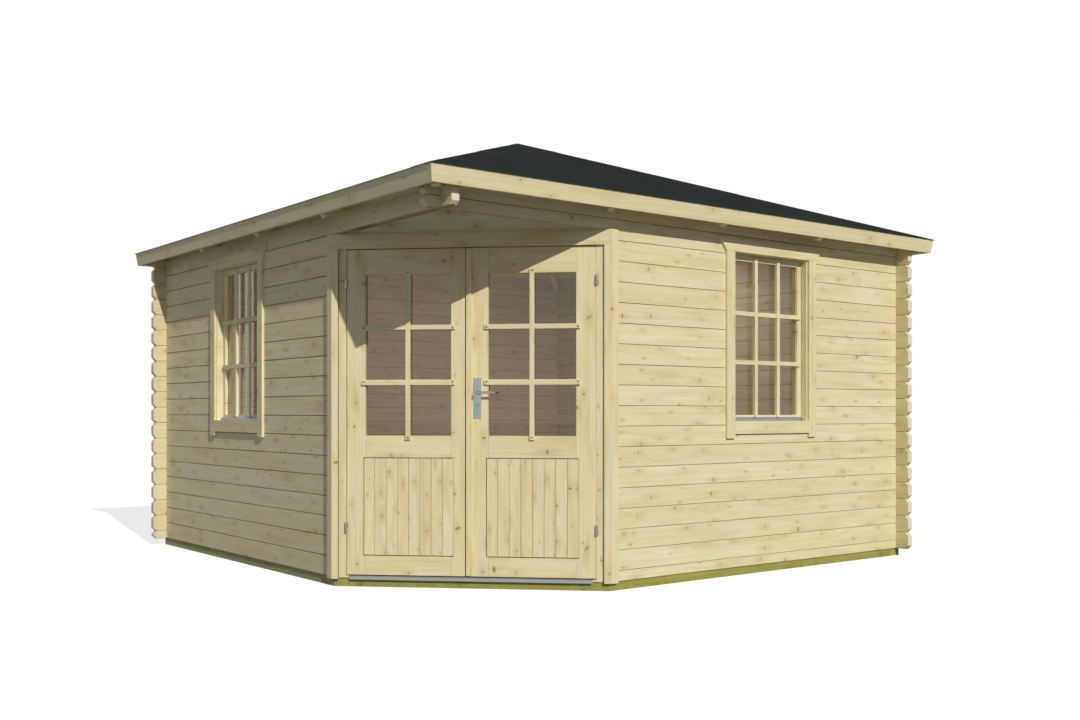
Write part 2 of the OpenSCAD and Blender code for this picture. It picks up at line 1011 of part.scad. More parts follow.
module window_trims() {
  side_foot = frame_in_z - win_sill_h - win_horn;
  color(pine_light)
    on_both_windows() {
      both_sides()
        block([trim_in_w / 2, -trim_t, side_foot], [trim_out_w / 2, -skin, trim_over_z - joint]);
      centred(trim_in_w - 2 * joint, win_sill_h, frame_in_z - win_sill_h, -trim_t, -skin);
      translate([0, -skin, trim_over_z])
        rotate([90, 0, 0])
          linear_extrude(trim_t - skin)
            polygon([
              [-trim_out_w / 2, 0], [trim_out_w / 2, 0],
              [trim_out_w / 2 + win_head_flare, win_head_h],
              [-trim_out_w / 2 - win_head_flare, win_head_h]
            ]);
    }
}

// ---------------------------------------------------------------- roof

// The space over a plane that rises inwards from height z at the wall face
module above_slope(z) {
  reach = plan_side;
  translate([-reach, 0, 0])
    rotate([90, 0, 90])
      linear_extrude(3 * reach)
        polygon([
          [-reach, z - reach * slope], [reach, z + reach * slope],
          [reach, z + 2 * reach], [-reach, z + 2 * reach]
        ]);
}

// Keeps what lies over one slope, between the two hips, gap short of their centre lines
module within_hips(reach, gap) {
  cut = gap * sqrt(2);
  intersection() {
    children();
    linear_extrude(2 * wall_h)
      polygon([
        [cut - reach, -reach], [plan_side + reach - cut, -reach], [half_plan, half_plan - cut]
      ]);
  }
}

// A slab over one slope, from reach outside the wall face to the apex
module slope_slab(reach, z, rise) {
  within_hips(reach, joint)
    translate([-reach, 0, 0])
      rotate([90, 0, 90])
        linear_extrude(plan_side + 2 * reach)
          polygon([
            [-reach, z - reach * slope], [half_plan, z + half_plan * slope],
            [half_plan, z + half_plan * slope + rise], [-reach, z - reach * slope + rise]
          ]);
}

// A rafter square to the wall, without its length limits, centred on X = 0
module rafter_bar(w) {
  reach = plan_side;
  translate([-w / 2, 0, 0])
    rotate([90, 0, 90])
      linear_extrude(w)
        polygon([
          [-reach, boards_z - reach * slope], [reach, boards_z + reach * slope],
          [reach, boards_z - rafter_rise - joint + reach * slope],
          [-reach, boards_z - rafter_rise - joint - reach * slope]
        ]);
}

// One rafter with a seat on the wall, up to y = upto, and its tail behind the fascia,
// bevelled underneath from the fascia's foot
module rafter(upto) {
  tail = -board_reach;
  foot = boards_z - rafter_rise;
  tail_foot = tail + rafter_rise * tan(fascia_lean);
  toe_z = max(fascia_foot_z, foot + tail_foot * slope + joint);
  toe = tail + (boards_z + tail * slope - toe_z) * tan(fascia_lean);
  bevel_end = (toe_z + toe - foot) / (1 + slope);
  translate([-rafter_w / 2, 0, 0])
    rotate([90, 0, 90])
      linear_extrude(rafter_w)
        polygon([
          [tail, boards_z + tail * slope], [upto, boards_z + upto * slope],
          [upto, foot + upto * slope], [seat_cut / slope, wall_h],
          [-joint, wall_h], [-joint, foot - joint * slope],
          [bevel_end, foot + bevel_end * slope], [toe, toe_z]
        ]);
}

module slope_rafters() {
  color(pine)
    on_all_walls()
      within_hips(eave_reach, hip_half + joint)
        for (x = [-rafter_pitch, 0, rafter_pitch])
          translate([half_plan + x, 0, 0])
            rafter(x == 0 ? half_plan - crown_w / 2 - joint : half_plan);
}

// A hip rafter along the plan's diagonal, seated over the crossing logs, with a
// rounded tail and its top sloped both ways to carry the boards
module hip_rafter() {
  near = -joint - hip_half;
  foot = boards_z - hip_rise;
  seat_end = (wall_h - foot) / hip_slope;
  far = half_plan * sqrt(2) - crown_w / 2 - joint;
  lean = hip_rise * tan(fascia_lean);
  tail = (lean - board_reach) * sqrt(2) + hip_half + 2 * joint;
  toe_z = max(fascia_foot_z, foot + tail * hip_slope + joint);
  toe_depth = (toe_z - foot - tail * hip_slope) * cos(hip_angle);
  curve_len = sqrt(2 * hip_curve_r * toe_depth - toe_depth ^ 2);
  difference() {
    rotate([0, 0, 45])
      translate([0, hip_half, 0])
        rotate([90, 0, 0])
          linear_extrude(rafter_w)
            difference() {
              polygon([
                [tail, boards_z + tail * hip_slope], [far, boards_z + far * hip_slope],
                [far, foot + far * hip_slope], [seat_end, wall_h], [near, wall_h],
                [near, foot + near * hip_slope], [tail, foot + tail * hip_slope]
              ]);
              translate([tail, toe_z])
                rotate(hip_angle)
                  difference() {
                    translate([-hip_curve_r, -2 * toe_depth])
                      square([hip_curve_r + curve_len, 2 * toe_depth]);
                    translate([curve_len, hip_curve_r - toe_depth])
                      circle(hip_curve_r, $fn = 72);
                  }
            }
    above_slope(boards_z);
    on_left()
      above_slope(boards_z);
  }
}

module hip_rafters() {
  color(pine)
    plan()
      for (turn = [0 : 90 : 270])
        translate([half_plan, half_plan, 0])
          rotate([0, 0, turn])
            translate([-half_plan, -half_plan, 0])
              hip_rafter();
}

module crown_block() {
  top = boards_z + (half_plan - crown_w / 2) * slope - joint;
  color(pine_light)
    plan()
      translate([half_plan, half_plan, top - crown_h])
        rotate([0, 0, 22.5])
          cylinder(d = crown_w / cos(22.5), h = crown_h, $fn = 8);
}

// Boards on the wall heads between the rafters, behind the door front only
module eave_fillers() {
  y0 = filler_in;
  color(pine_light)
    difference() {
      on_all_walls()
        within_hips(eave_reach, hip_half + joint)
          difference() {
            block([0, y0, wall_h], [plan_side, y0 + filler_t, boards_z + half_plan * slope]);
            above_slope(boards_z - joint);
            for (x = [-rafter_pitch, 0, rafter_pitch])
              translate([half_plan + x, 0, 0])
                block([-rafter_w / 2 - joint, 0, 0], [rafter_w / 2 + joint, half_plan, 2 * wall_h]);
          }
      plan()
        linear_extrude(2 * wall_h)
          front_part(filler_t + joint);
    }
}

module roof_boards() {
  color(pine_light)
    on_all_walls()
      slope_slab(board_reach, boards_z, board_rise);
}

module roof_felt() {
  color(felt_colour)
    on_all_walls()
      slope_slab(eave_reach, boards_z + board_rise + skin, felt_rise);
}

module fascia_boards() {
  top = boards_z + board_rise;
  lean = fascia_h * tan(fascia_lean);
  color(pine_light)
    on_all_walls()
      within_hips(eave_reach, joint)
        translate([-eave_reach, 0, 0])
          rotate([90, 0, 90])
            linear_extrude(plan_side + 2 * eave_reach)
              polygon([
                [-fascia_out, top - fascia_out * slope], [-fascia_in, top - fascia_in * slope],
                [lean - fascia_in, top - fascia_out * slope - fascia_h],
                [lean - fascia_out, top - fascia_out * slope - fascia_h]
              ]);
}

// ---------------------------------------------------------------- the cabin
foundation_beams();
floor_joists();
floor_boards();
left_wall_odd_courses();
left_wall_even_courses();
right_wall_odd_courses();
right_wall_even_courses();
back_left_wall_odd_courses();
back_left_wall_even_courses();
back_right_wall_odd_courses();
back_right_wall_even_courses();
front_wall_log();
front_gable();
door_posts();
door_head();
threshold();
threshold_strip();
door_trims();
left_leaf();
left_leaf_panel();
left_leaf_glass();
left_leaf_bars();
right_leaf();
right_leaf_panel();
right_leaf_glass();
right_leaf_bars();
cover_strip();
frame_hinges();
left_leaf_hinges();
right_leaf_hinges();
handle_plates();
door_lever();
window_frames();
window_sashes();
window_glass();
window_bars();
window_drips();
window_trims();
hip_rafters();
slope_rafters();
crown_block();
eave_fillers();
roof_boards();
roof_felt();
fascia_boards();
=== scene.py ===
import json
import math

import bmesh
import bpy
from mathutils import Matrix, Vector

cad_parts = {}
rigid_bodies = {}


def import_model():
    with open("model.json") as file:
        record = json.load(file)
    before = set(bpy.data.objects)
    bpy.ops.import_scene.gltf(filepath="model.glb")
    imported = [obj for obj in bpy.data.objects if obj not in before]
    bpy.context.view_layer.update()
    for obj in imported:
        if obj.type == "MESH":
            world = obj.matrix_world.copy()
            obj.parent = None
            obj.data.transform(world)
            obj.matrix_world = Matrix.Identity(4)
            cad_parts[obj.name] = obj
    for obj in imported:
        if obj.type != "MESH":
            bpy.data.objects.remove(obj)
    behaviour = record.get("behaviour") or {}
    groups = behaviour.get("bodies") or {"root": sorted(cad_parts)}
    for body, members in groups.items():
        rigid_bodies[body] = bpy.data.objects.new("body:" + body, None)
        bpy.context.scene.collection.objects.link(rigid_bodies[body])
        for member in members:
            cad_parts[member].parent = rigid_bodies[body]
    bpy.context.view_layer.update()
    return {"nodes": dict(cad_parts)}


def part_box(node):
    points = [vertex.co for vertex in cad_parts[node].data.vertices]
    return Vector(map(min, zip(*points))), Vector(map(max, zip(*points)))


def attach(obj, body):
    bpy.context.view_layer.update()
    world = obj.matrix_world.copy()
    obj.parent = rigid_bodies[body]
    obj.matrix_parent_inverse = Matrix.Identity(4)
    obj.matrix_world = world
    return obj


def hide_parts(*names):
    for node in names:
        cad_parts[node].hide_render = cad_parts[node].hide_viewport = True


# Looks for the five-cornered log cabin: finishes for every part, boards, felt, screws and
# door furniture, then the floor, light and camera.

for thing in list(bpy.data.objects):
    bpy.data.objects.remove(thing)

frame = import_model()
NODES = frame["nodes"]

ROOT2 = math.sqrt(2)
EIGHTH = math.radians(45)
UP = Vector((0, 0, 1))

# Sizes that the finishes and fittings follow, in metres, from the middle of the plan and from
# the ground up
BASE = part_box("floor_boards")[0].z

# A log's height, the outside of a wall and a line just inside it
COURSE = 0.114
WALL_FACE = 1.880
ROOM_EDGE = 1.83

# Lines just inside the beams under the walls, behind the front beam and behind its face
BEAM_EDGE = 1.79
FRONT_BEAM_BACK = -1.76
FRONT_BEAM_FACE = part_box("foundation_beams")[0].y + 0.003

# The planks of the floor: how many, how wide and where the first one starts
PLANK_COUNT = 38
PLANK_W = 0.09605
FIRST_PLANK = -1.825

# The roof's pitch, its rise for each metre out from the middle and along a hip, the width of
# its boards and their thickness
ROOF_PITCH = math.radians(20)
SLOPE_RISE = 0.364
HIP_RISE = 0.257
ROOF_BOARD_W = 0.0905
ROOF_BOARD_T = 0.019

# The felt's thickness measured upright, what one sheet adds where it laps another, where the
# sheets end as shares of the height, and half the width of the strip over a hip
FELT_RISE = 0.005 / math.cos(ROOF_PITCH)
FELT_LAP = 0.0016
FELT_SHEETS = (0.46, 0.90)
HIP_STRIP = 0.125

# The groove that hides the edge of a pane or a panel
GROOVE = 0.007

# The doorway: its face, half its width, the foot of the head trim, half that trim's length
# and the line where the trim on a post meets the trim on the wall
FRONT_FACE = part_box("door_posts")[0].y
DOORWAY_HALF = 0.708
HEAD_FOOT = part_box("door_head")[0].z + 0.014
HEAD_TRIM_HALF = 0.7903
POST_TRIM_EDGE = 0.787

# The leaves, by their panes and panels
pane_low, pane_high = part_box("right_leaf_glass")
panel_low, panel_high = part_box("right_leaf_panel")
LEAF_MIDDLE = (pane_low.x + pane_high.x) / 2
LEAF_PANE_W = pane_high.x - pane_low.x - 2 * GROOVE
LEAF_PANE_FOOT = pane_low.z + GROOVE
LEAF_PANE_HEAD = pane_high.z - GROOVE
PANEL_W = panel_high.x - panel_low.x - 2 * GROOVE
PANEL_FOOT = panel_low.z + GROOVE
PANEL_BOARDS = 8
LEVER_Z = (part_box("door_lever")[0].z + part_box("door_lever")[1].z) / 2

# The windows: where along the wall, how far behind its face the sash stands, half the width
# inside frame, sash and trim, the trim's head, a line between lower and upper members, and a
# height above them all for a frame without a head of its own
window_low, window_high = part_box("window_glass")
WINDOW_MIDDLE_Z = (window_low.z + window_high.z) / 2
WINDOW_AT = 0.554
SASH_SET = 0.043
FRAME_HALF = 0.333
SASH_HALF = 0.295
TRIM_HALF = 0.3415
TRIM_HEAD = 1.9475
WINDOW_SPLIT = 1.4
NO_HEAD = 9

# Glazing bars: their width, half the width of their backs, and where they lie
BAR_W = 0.026
BAR_BACK_HALF = 0.0122
WINDOW_UPRIGHT = 0.1025
LEAF_BARS_Z = [(pane_low.z + pane_high.z) / 2 + off for off in (-0.1508, 0.1508)]
WINDOW_BARS_Z = [WINDOW_MIDDLE_Z + off for off in (-0.1485, 0.1485)]


def srgb(r, g, b):
    """A colour written in 0 to 255 as the linear colour that a shader takes."""
    return tuple(
        c / 255 / 12.92 if c <= 10 else ((c / 255 + 0.055) / 1.055) ** 2.4
        for c in (r, g, b)
    ) + (1,)


# ---------------------------------------------------------------- shader maths


class Value:
    """A shader socket. Sums written with it add Math nodes."""

    def __init__(self, nodes, socket):
        self.nodes = nodes
        self.socket = socket

    def math(self, operation, *terms, clamp=False):
        settings = {"operation": operation, "use_clamp": clamp}
        return self.nodes.node("Math", settings, dict(enumerate(terms)))

    def __add__(self, other):
        return self.math("ADD", self, other)

    def __sub__(self, other):
        return self.math("SUBTRACT", self, other)

    def __rsub__(self, other):
        return self.math("SUBTRACT", other, self)

    def __mul__(self, other):
        return self.math("MULTIPLY", self, other)

    def __truediv__(self, other):
        return self.math("DIVIDE", self, other)

    def __pow__(self, other):
        return self.math("POWER", self, other)

    def __gt__(self, other):
        return self.math("GREATER_THAN", self, other)

    def __lt__(self, other):
        return self.math("LESS_THAN", self, other)

    def __abs__(self):
        return self.math("ABSOLUTE", self)

    __radd__ = __add__
    __rmul__ = __mul__

    def floor(self):
        return self.math("FLOOR", self)

    def part(self):
        return self.math("FRACT", self)

    def squared(self):
        return self.math("MULTIPLY", self, self)

    def root(self):
        return self.math("SQRT", self)

    def limit(self):
        return self.math("ADD", self, 0, clamp=True)

    def most(self, other):
        return self.math("MAXIMUM", self, other)

    def least(self, other):
        return self.math("MINIMUM", self, other)

    def over(self, edge, soft):
        """1 where the value is over an edge, through a soft step."""
        return ((self - edge) / soft).limit()

    def under(self, edge, soft):
        """1 where the value is under an edge, through a soft step."""
        return ((edge - self) / soft).limit()


class Nodes:
    """The nodes of a material or of the sky."""

    def __init__(self, tree):
        self.tree = tree

    def node(self, kind, settings=None, inputs=None, out=0):
        """A node of a kind: its settings first, then the values or links of its sockets. Gives
        the output named, several for a tuple of names, and the node itself for None."""
        made = self.tree.nodes.new("ShaderNode" + kind)
        for key, value in (settings or {}).items():
            setattr(made, key, value)
        for key, value in (inputs or {}).items():
            if isinstance(value, Value):
                self.tree.links.new(value.socket, made.inputs[key])
            else:
                made.inputs[key].default_value = value
        if out is None:
            return made
        if isinstance(out, tuple):
            return [Value(self, made.outputs[key]) for key in out]
        return Value(self, made.outputs[out])


class Finish(Nodes):
    """A material built round one Principled shader."""

    def __init__(self, name):
        self.material = bpy.data.materials.new(name)
        self.material.use_nodes = True
        super().__init__(self.material.node_tree)
        self.shader = self.tree.nodes["Principled BSDF"]

    def place(self, turn=0.0):
        """The object's coordinates turned about the upright, as three values."""
        place = self.object_place()
        if turn:
            place = self.node("Mapping", inputs={"Vector": place, "Rotation": (0, 0, turn)})
        return self.split(place)

    def facing(self, turn=0.0):
        """Which way the surface faces, turned as place turns."""
        way = self.node("TexCoord", out="Normal")
        if turn:
            way = self.node("Mapping", {"vector_type": "NORMAL"},
                            {"Vector": way, "Rotation": (0, 0, turn)})
        return self.split(way)

    def split(self, vector):
        return self.node("SeparateXYZ", inputs={0: vector}, out=(0, 1, 2))

    def object_place(self):
        return self.node("TexCoord", out="Object")

    def join(self, x, y, z):
        return self.node("CombineXYZ", inputs={0: x, 1: y, 2: z})

    def noise(self, vector, scale=1.0, detail=2.0, rough=0.5, out=0):
        return self.node("TexNoise", inputs={"Vector": vector, "Scale": scale,
                                             "Detail": detail, "Roughness": rough}, out=out)

    def tint(self, share, first, second):
        """A colour that goes from the first to the second as the share goes from 0 to 1."""
        return self.node("Mix", {"data_type": "RGBA"}, {0: share, 6: first, 7: second}, out=2)

    def choose(self, share, first, second):
        """A value that is the first at share 0 and the second at share 1."""
        return first + share * (second - first)

    def bump(self, height, depth, strength):
        return self.node("Bump", inputs={"Height": height, "Distance": depth,
                                         "Strength": strength})

    def set(self, **sockets):
        for key, value in sockets.items():
            socket = self.shader.inputs[key.replace("_", " ")]
            if isinstance(value, Value):
                self.tree.links.new(value.socket, socket)
            else:
                socket.default_value = value
        return self.material


# ---------------------------------------------------------------- timber

# Fresh planed spruce, and the wood of late growth, sawn ends, dark joints that also carry painted
# shade, and knots
PALE = srgb(231, 226, 186)
DEEP = srgb(221, 209, 163)
ROSY = srgb(224, 202, 163)
CREAM = srgb(233, 227, 198)
WARM = srgb(208, 184, 132)
STRAW = srgb(222, 216, 152)
GREENISH = srgb(220, 218, 174)
LATE_GROWTH = srgb(200, 175, 121)
SAWN_END = srgb(226, 216, 188)
SEAM_AND_SHADE = srgb(104, 84, 48)
DARK_KNOT = srgb(118, 98, 60)
AMBER_KNOT = srgb(200, 156, 80)
AMBER_HEART = srgb(144, 104, 52)
GREY_KNOT = srgb(164, 144, 102)
KNOT_RIM = srgb(204, 180, 128)

# Knots lie in cells so long and so wide, in a share of them. By their luck they are dark pins,
# then amber, then grey from the second of the two kinds on
PLANED = dict(pale=PALE, deep=DEEP, rosy=ROSY, cream=CREAM, warm=WARM, straw=STRAW,
              green=GREENISH, late=LATE_GROWTH, sawn=SAWN_END, seam=SEAM_AND_SHADE, dark=DARK_KNOT,
              amber=AMBER_KNOT, heart=AMBER_HEART, grey=GREY_KNOT, rim=KNOT_RIM,
              cells=(0.24, 0.10), knots=0.85, kinds=(0.42, 0.56), size=1.0, rough=0.62)
# The door and its trim are cut from slightly redder boards
JOINERY = dict(pale=srgb(239, 228, 184), deep=srgb(230, 212, 164), green=srgb(228, 220, 173))
# The boards under the roof and over the door are painted paler than the rest, as painted light
# that lifts them in the shade under the eaves
SOFFIT_PAINTED_LIGHT = dict(pale=srgb(250, 251, 224), deep=srgb(243, 241, 208), warm=srgb(232, 224, 182),
              straw=srgb(240, 240, 198), rosy=srgb(242, 238, 204), late=srgb(220, 210, 162))
# The inside of the back right wall, painted darker as painted shade, and the duller wood of the
# back left one
SHADED_ROOM_PINE = (srgb(212, 202, 168), srgb(202, 186, 150))
SHELTERED = dict(pale=srgb(219, 213, 176), deep=srgb(208, 196, 154), cream=srgb(222, 216, 188))


def timber(finish, along, across, depth, board, seam=None, end=None, **changes):
    """Softwood with its grain along the first direction. Each board has its own number, from
    which its tone, its knots and the place of its heart follow."""
    look = {**PLANED, **changes}
    f = finish
    chance = f.node("TexWhiteNoise", {"noise_dimensions": "1D"}, {"W": board}, out="Color")
    one, two, three = f.split(chance)
    u = along + one * 41
    v = across + two * 17

    # Knots: one may lie in each cell of a loose net, as a dark pin, an amber knot or a grey
    # smudge
    net_u, net_v = look["cells"]
    spot, luck = f.node("TexVoronoi", {"voronoi_dimensions": "2D"},
                        {"Vector": f.join(u / net_u, v / net_v, 0), "Scale": 1.0},
                        out=("Position", "Color"))
    spot_u, spot_v, _ = f.split(spot)
    luck_size, luck_there, luck_kind = f.split(luck)
    du = u - spot_u * net_u
    dv = v - spot_v * net_v
    leant = du + dv * ((luck_size * 17).part() - 0.5) * 1.3
    ripple = f.noise(f.join(u, v, depth), 90, 1)
    away = ((leant * 1.25).squared() + (dv * 0.7).squared()).root() + (ripple - 0.5) * 0.005
    smudge = luck_kind > look["kinds"][1]
    amber = (luck_kind > look["kinds"][0]) - smudge
    there = luck_there < look["knots"]
    size = (luck_size * 0.0025 + 0.0028 + amber * (luck_size * 0.006 + 0.002)
            + smudge * (luck_size * 0.006 + 0.0035)) * look["size"]
    core = away.under(size, smudge * 0.008 + 0.0028) * there
    middle = (1 - away / size).limit()
    halo = (1 - ((du * 0.35).squared() + (dv * 0.9).squared()).root() / (size * 2.8)).limit()
    halo = halo * there

    # Growth rings about a heart that lies off each board, swept aside by the knots
    warp = f.noise(f.join(u * 0.9, across * 3, depth * 3), 1.6, 2)
    heart = ((across + (two - 0.5) * 0.12).squared()
             + (depth + three * 0.05 + 0.012).squared()).root()
    heart = heart + (warp - 0.5) * 0.07 + halo.squared() * 0.012
    ring = (heart * 240).part()
    late = ring * ring * ring
    arcs = f.node("TexNoise", {"noise_dimensions": "1D"},
                  {"W": heart * 58 + one * 50, "Scale": 1.0, "Detail": 2.0})

    streak, vein, _ = f.split(f.noise(f.join(u * 1.3, v * 36, depth * 36), 1, 3, 0.6, "Color"))
    warmth, cream, blush = f.split(
        f.noise(f.join(u * 2.1, v * 13, depth * 13), 1, 2, 0.5, "Color"))
    fibre = f.noise(f.join(u * 14, v * 700, depth * 700), 1, 1)

    colour = f.tint((streak * 1.8 - 0.4).limit(), look["pale"], look["deep"])
    # Each tone comes in where its pattern passes a start, at a rate and up to a share
    for pattern, start, rate, share, tone in (
        (cream, 0.45, 4, 0.65, "cream"),
        (vein, 0.55, 6, 0.7, "straw"),
        (blush, 0.5, 4, 0.5, "rosy"),
        (one, 0.72, 4, 0.5, "green"),
        (two, 0.6, 2.6, 0.4, "rosy"),
        (three, 0.6, 2.6, 0.45, "deep"),
        (warmth, 0.5, 4.5, 0.5, "warm"),
        (arcs, 0.5, 4, 0.32, "warm"),
    ):
        colour = f.tint(((pattern - start) * rate).limit() * share, colour, look[tone])
    colour = f.tint(late * (three * 0.18 + 0.14), colour, look["late"])
    colour = f.tint((fibre - 0.5).limit() * 0.25, colour, look["late"])
    colour = f.tint(halo * (streak + 0.1), colour, look["rim"])
    if end is not None:
        colour = f.tint(end * 0.7, colour, look["sawn"])
    knot = f.tint(amber, look["dark"], look["amber"])
    knot = f.tint(amber * ((middle - 0.25) * 2).limit() * 0.8, knot, look["heart"])
    knot = f.tint(smudge, knot, look["grey"])
    knot = f.tint(smudge * ((middle - 0.5) * 3).limit() * 0.7, knot, look["dark"])
    colour = f.tint(core * (0.9 - smudge * 0.3), colour, knot)
    # Dark joints, and painted shade where a caller puts it, take the seam colour
    if seam is not None:
        colour = f.tint(seam, colour, look["seam"])

    relief = fibre * 0.35 + streak * 0.25 - late * 0.35 + core * 0.5
    return f.set(Base_Color=colour, Roughness=look["rough"] - core * 0.12 + late * 0.05,
                 Normal=f.bump(relief, 0.0007, 0.6), Specular_IOR_Level=0.2)


def seam_lines(place, pitch, width):
    """1 on the line where two boards of that pitch meet, with a soft edge."""
    near = abs((place / pitch).part() - 0.5)
    return (((near - 0.5) * pitch + width) / (width * 0.6)).limit()


def faces(way):
    """1 on a surface that faces a way, from how far it points that way."""
    return ((way - 0.8) * 8).limit()


def sawn_end(across_grain):
    """1 on a face cut across the grain."""
    return faces(abs(across_grain))


def wall_ways(x, y):
    """Level distances or directions turned to run along the walls."""
    return (x - y) / ROOT2, (x + y) / ROOT2


def log_wall(name, turn, lift, seed, room=(PALE, DEEP), joint_shade=0.0042, **changes):
    """The logs of one wall, whose courses start a lift above the foot of the wall. The room
    gives the two main colours on the inside, and the joint the height of the dark line at
    each log's foot. That line is a dark joint plus painted shade on the upper log's downward
    bevel, and every face that points down gets painted shade too."""
    f = Finish(name)
    x, y, z = f.place(turn)
    inside = (abs(y) < WALL_FACE - 0.03) * (abs(x) < ROOM_EDGE)
    look = {**PLANED, **changes}
    changes["pale"] = f.tint(inside, look["pale"], room[0])
    changes["deep"] = f.tint(inside, look["deep"], room[1])
    height = z - BASE - lift
    row = (height / COURSE).floor()
    from_middle = height - (row + 0.5) * COURSE
    # Dark joint plus painted shade: the upper log's downward bevel at each log's foot, with a
    # fainter line at its head
    foot = from_middle.under(joint_shade - COURSE / 2, 0.0012)
    head = from_middle.over(COURSE / 2 - 0.0012, 0.0006) * 0.5
    shade = f.noise(f.join(x, row * 3.7, y), 3.5, 3)
    facing = f.facing(turn)
    # Painted shade on every face that points down
    painted_underside_shade = faces(facing[2] * -1) * 0.6
    seam = (foot.most(head) * (shade * 0.9 + 0.25).limit()).most(painted_underside_shade)
    return timber(f, x, from_middle, abs(y) - WALL_FACE, row + seed,
                  seam=seam, end=sawn_end(facing[0]), **changes)


def level_board(name, seed, pitch=10.0, **changes):
    """Boards that run across the front, stacked at a pitch. The whole cabin fits in one board
    of the pitch that is taken when none is given."""
    f = Finish(name)
    x, y, z = f.place()
    return timber(f, x, z, y - FRONT_FACE, (z / pitch).floor() + seed,
                  end=sawn_end(f.facing()[0]), **changes)


def upright(name, seed, **changes):
    """Posts and other uprights, each with its own number from where it stands."""
    f = Finish(name)
    x, y, z = f.place()
    return timber(f, z, x, y, (x * 7.3).floor() + seed, end=sawn_end(f.facing()[2]), **changes)


def framed(f, level, place, ways, upright_number, level_number, **changes):
    """A frame whose members run sideways where level is 1 and upright elsewhere. The place is
    sideways, in depth and up, and the ways are how far the surface faces sideways and up."""
    x, depth, z = place
    sideways, up = ways
    return timber(f, f.choose(level, z, x), f.choose(level, x, z), depth,
                  f.choose(level, upright_number, level_number),
                  end=sawn_end(f.choose(level, up, sideways)), **changes)


def door_leaf(name, middle, seed):
    """A leaf's stiles and rails: the rails butt between stiles that run its full height."""
    f = Finish(name)
    x, y, z = f.place()
    aside = abs(x - middle)
    rail = aside < LEAF_PANE_W / 2
    seam = abs(aside - LEAF_PANE_W / 2).under(0.0009, 0.0006) * 0.6
    return framed(f, rail, (x, y - FRONT_FACE, z), f.facing()[::2], (x > middle) + seed,
                  (z * 2.2).floor() + seed + 4, seam=seam, cells=(0.26, 0.11), size=1.2,
                  kinds=(0.35, 0.62), **JOINERY)


def leaf_panel(name, node, seed):
    """The upright boards in a leaf's lower panel, with dark joints between them, and painted
    shade in the gap at their foot and on their left."""
    f = Finish(name)
    x, y, z = f.place()
    pitch = PANEL_W / PANEL_BOARDS
    across = x - (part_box(node)[0].x + GROOVE)
    row = (across / pitch).floor()
    # Painted shade in the gap at the panel's foot and left edge; the lines between boards are dark
    # joints
    joint_shade = (z - PANEL_FOOT).under(0.0046, 0.001).most(across.under(0.0026, 0.001))
    seam = (seam_lines(across, pitch, 0.0016) * 0.6).most(joint_shade * 0.9)
    return timber(f, z, across - (row + 0.5) * pitch, y - FRONT_FACE, row + seed, seam=seam,
                  cells=(0.20, 0.065), size=0.85, kinds=(0.5, 0.62), end=sawn_end(f.facing()[2]),
                  **JOINERY)


def door_trim(name, seed):
    """The trim round the door: a head board between uprights, with painted shade on the inner
    side faces of the left ones, where they meet the door frame."""
    f = Finish(name)
    x, y, z = f.place()
    level = (z > HEAD_FOOT) * (abs(x) < HEAD_TRIM_HALF)
    sideways, _, up = f.facing()
    # Painted shade on the inner side faces of the left trims
    joint_shade = faces(sideways * (x < 0)) * 0.85
    number = (x * 1.27).floor() * 2 + (abs(x) > POST_TRIM_EDGE) + seed
    return framed(f, level, (x, y - FRONT_FACE, z), (sideways, up), number, seed + 9,
                  seam=joint_shade, cells=(0.34, 0.10), size=1.1, **JOINERY)


def on_walls(f):
    """For the window walls: whether it is the right one, the place along it from the window's
    middle, in from its face and up, and how far the surface faces along it and up."""
    x, y, z = f.place()
    nx, ny, up = f.facing()
    right = x > 0
    along = f.choose(right, (y - x) / ROOT2, (x + y) / ROOT2) - WINDOW_AT
    inwards = WALL_FACE - (abs(x) - y) / ROOT2
    run = f.choose(right, (ny - nx) / ROOT2, (nx + ny) / ROOT2)
    return right, (along, inwards, z), (run, up)


def window_wood(name, half_width, seed, head=NO_HEAD, **changes):
    """A frame in the window walls: uprights of full height, level members between them."""
    f = Finish(name)
    right, place, ways = on_walls(f)
    along, _, z = place
    level = ((abs(along) < half_width) + (z > head)).limit()
    return framed(f, level, place, ways, (along > 0) + right * 5 + seed,
                  (z > WINDOW_SPLIT) + right * 5 + seed + 2, **changes)


def glazing_bars(name, levels, seed, on_window):
    """Slim bars: the uprights run through, the level ones are cut between them."""
    f = Finish(name)
    if on_window:
        _, place, ways = on_walls(f)
        along, _, z = place
        from_upright = abs(abs(along) - WINDOW_UPRIGHT)
    else:
        along, y, z = f.place()
        place = (along, y - FRONT_FACE, z)
        ways = f.facing()[::2]
        from_upright = abs(abs(along) - LEAF_MIDDLE)
    beside = from_upright > BAR_W / 2
    level = (abs(z - levels[0]) < BAR_W / 2) + (abs(z - levels[1]) < BAR_W / 2)
    return framed(f, level * beside, place, ways, (along * 5).floor() + seed,
                  (z * 7).floor() + seed + 20, cells=(0.24, 0.05), size=0.6)


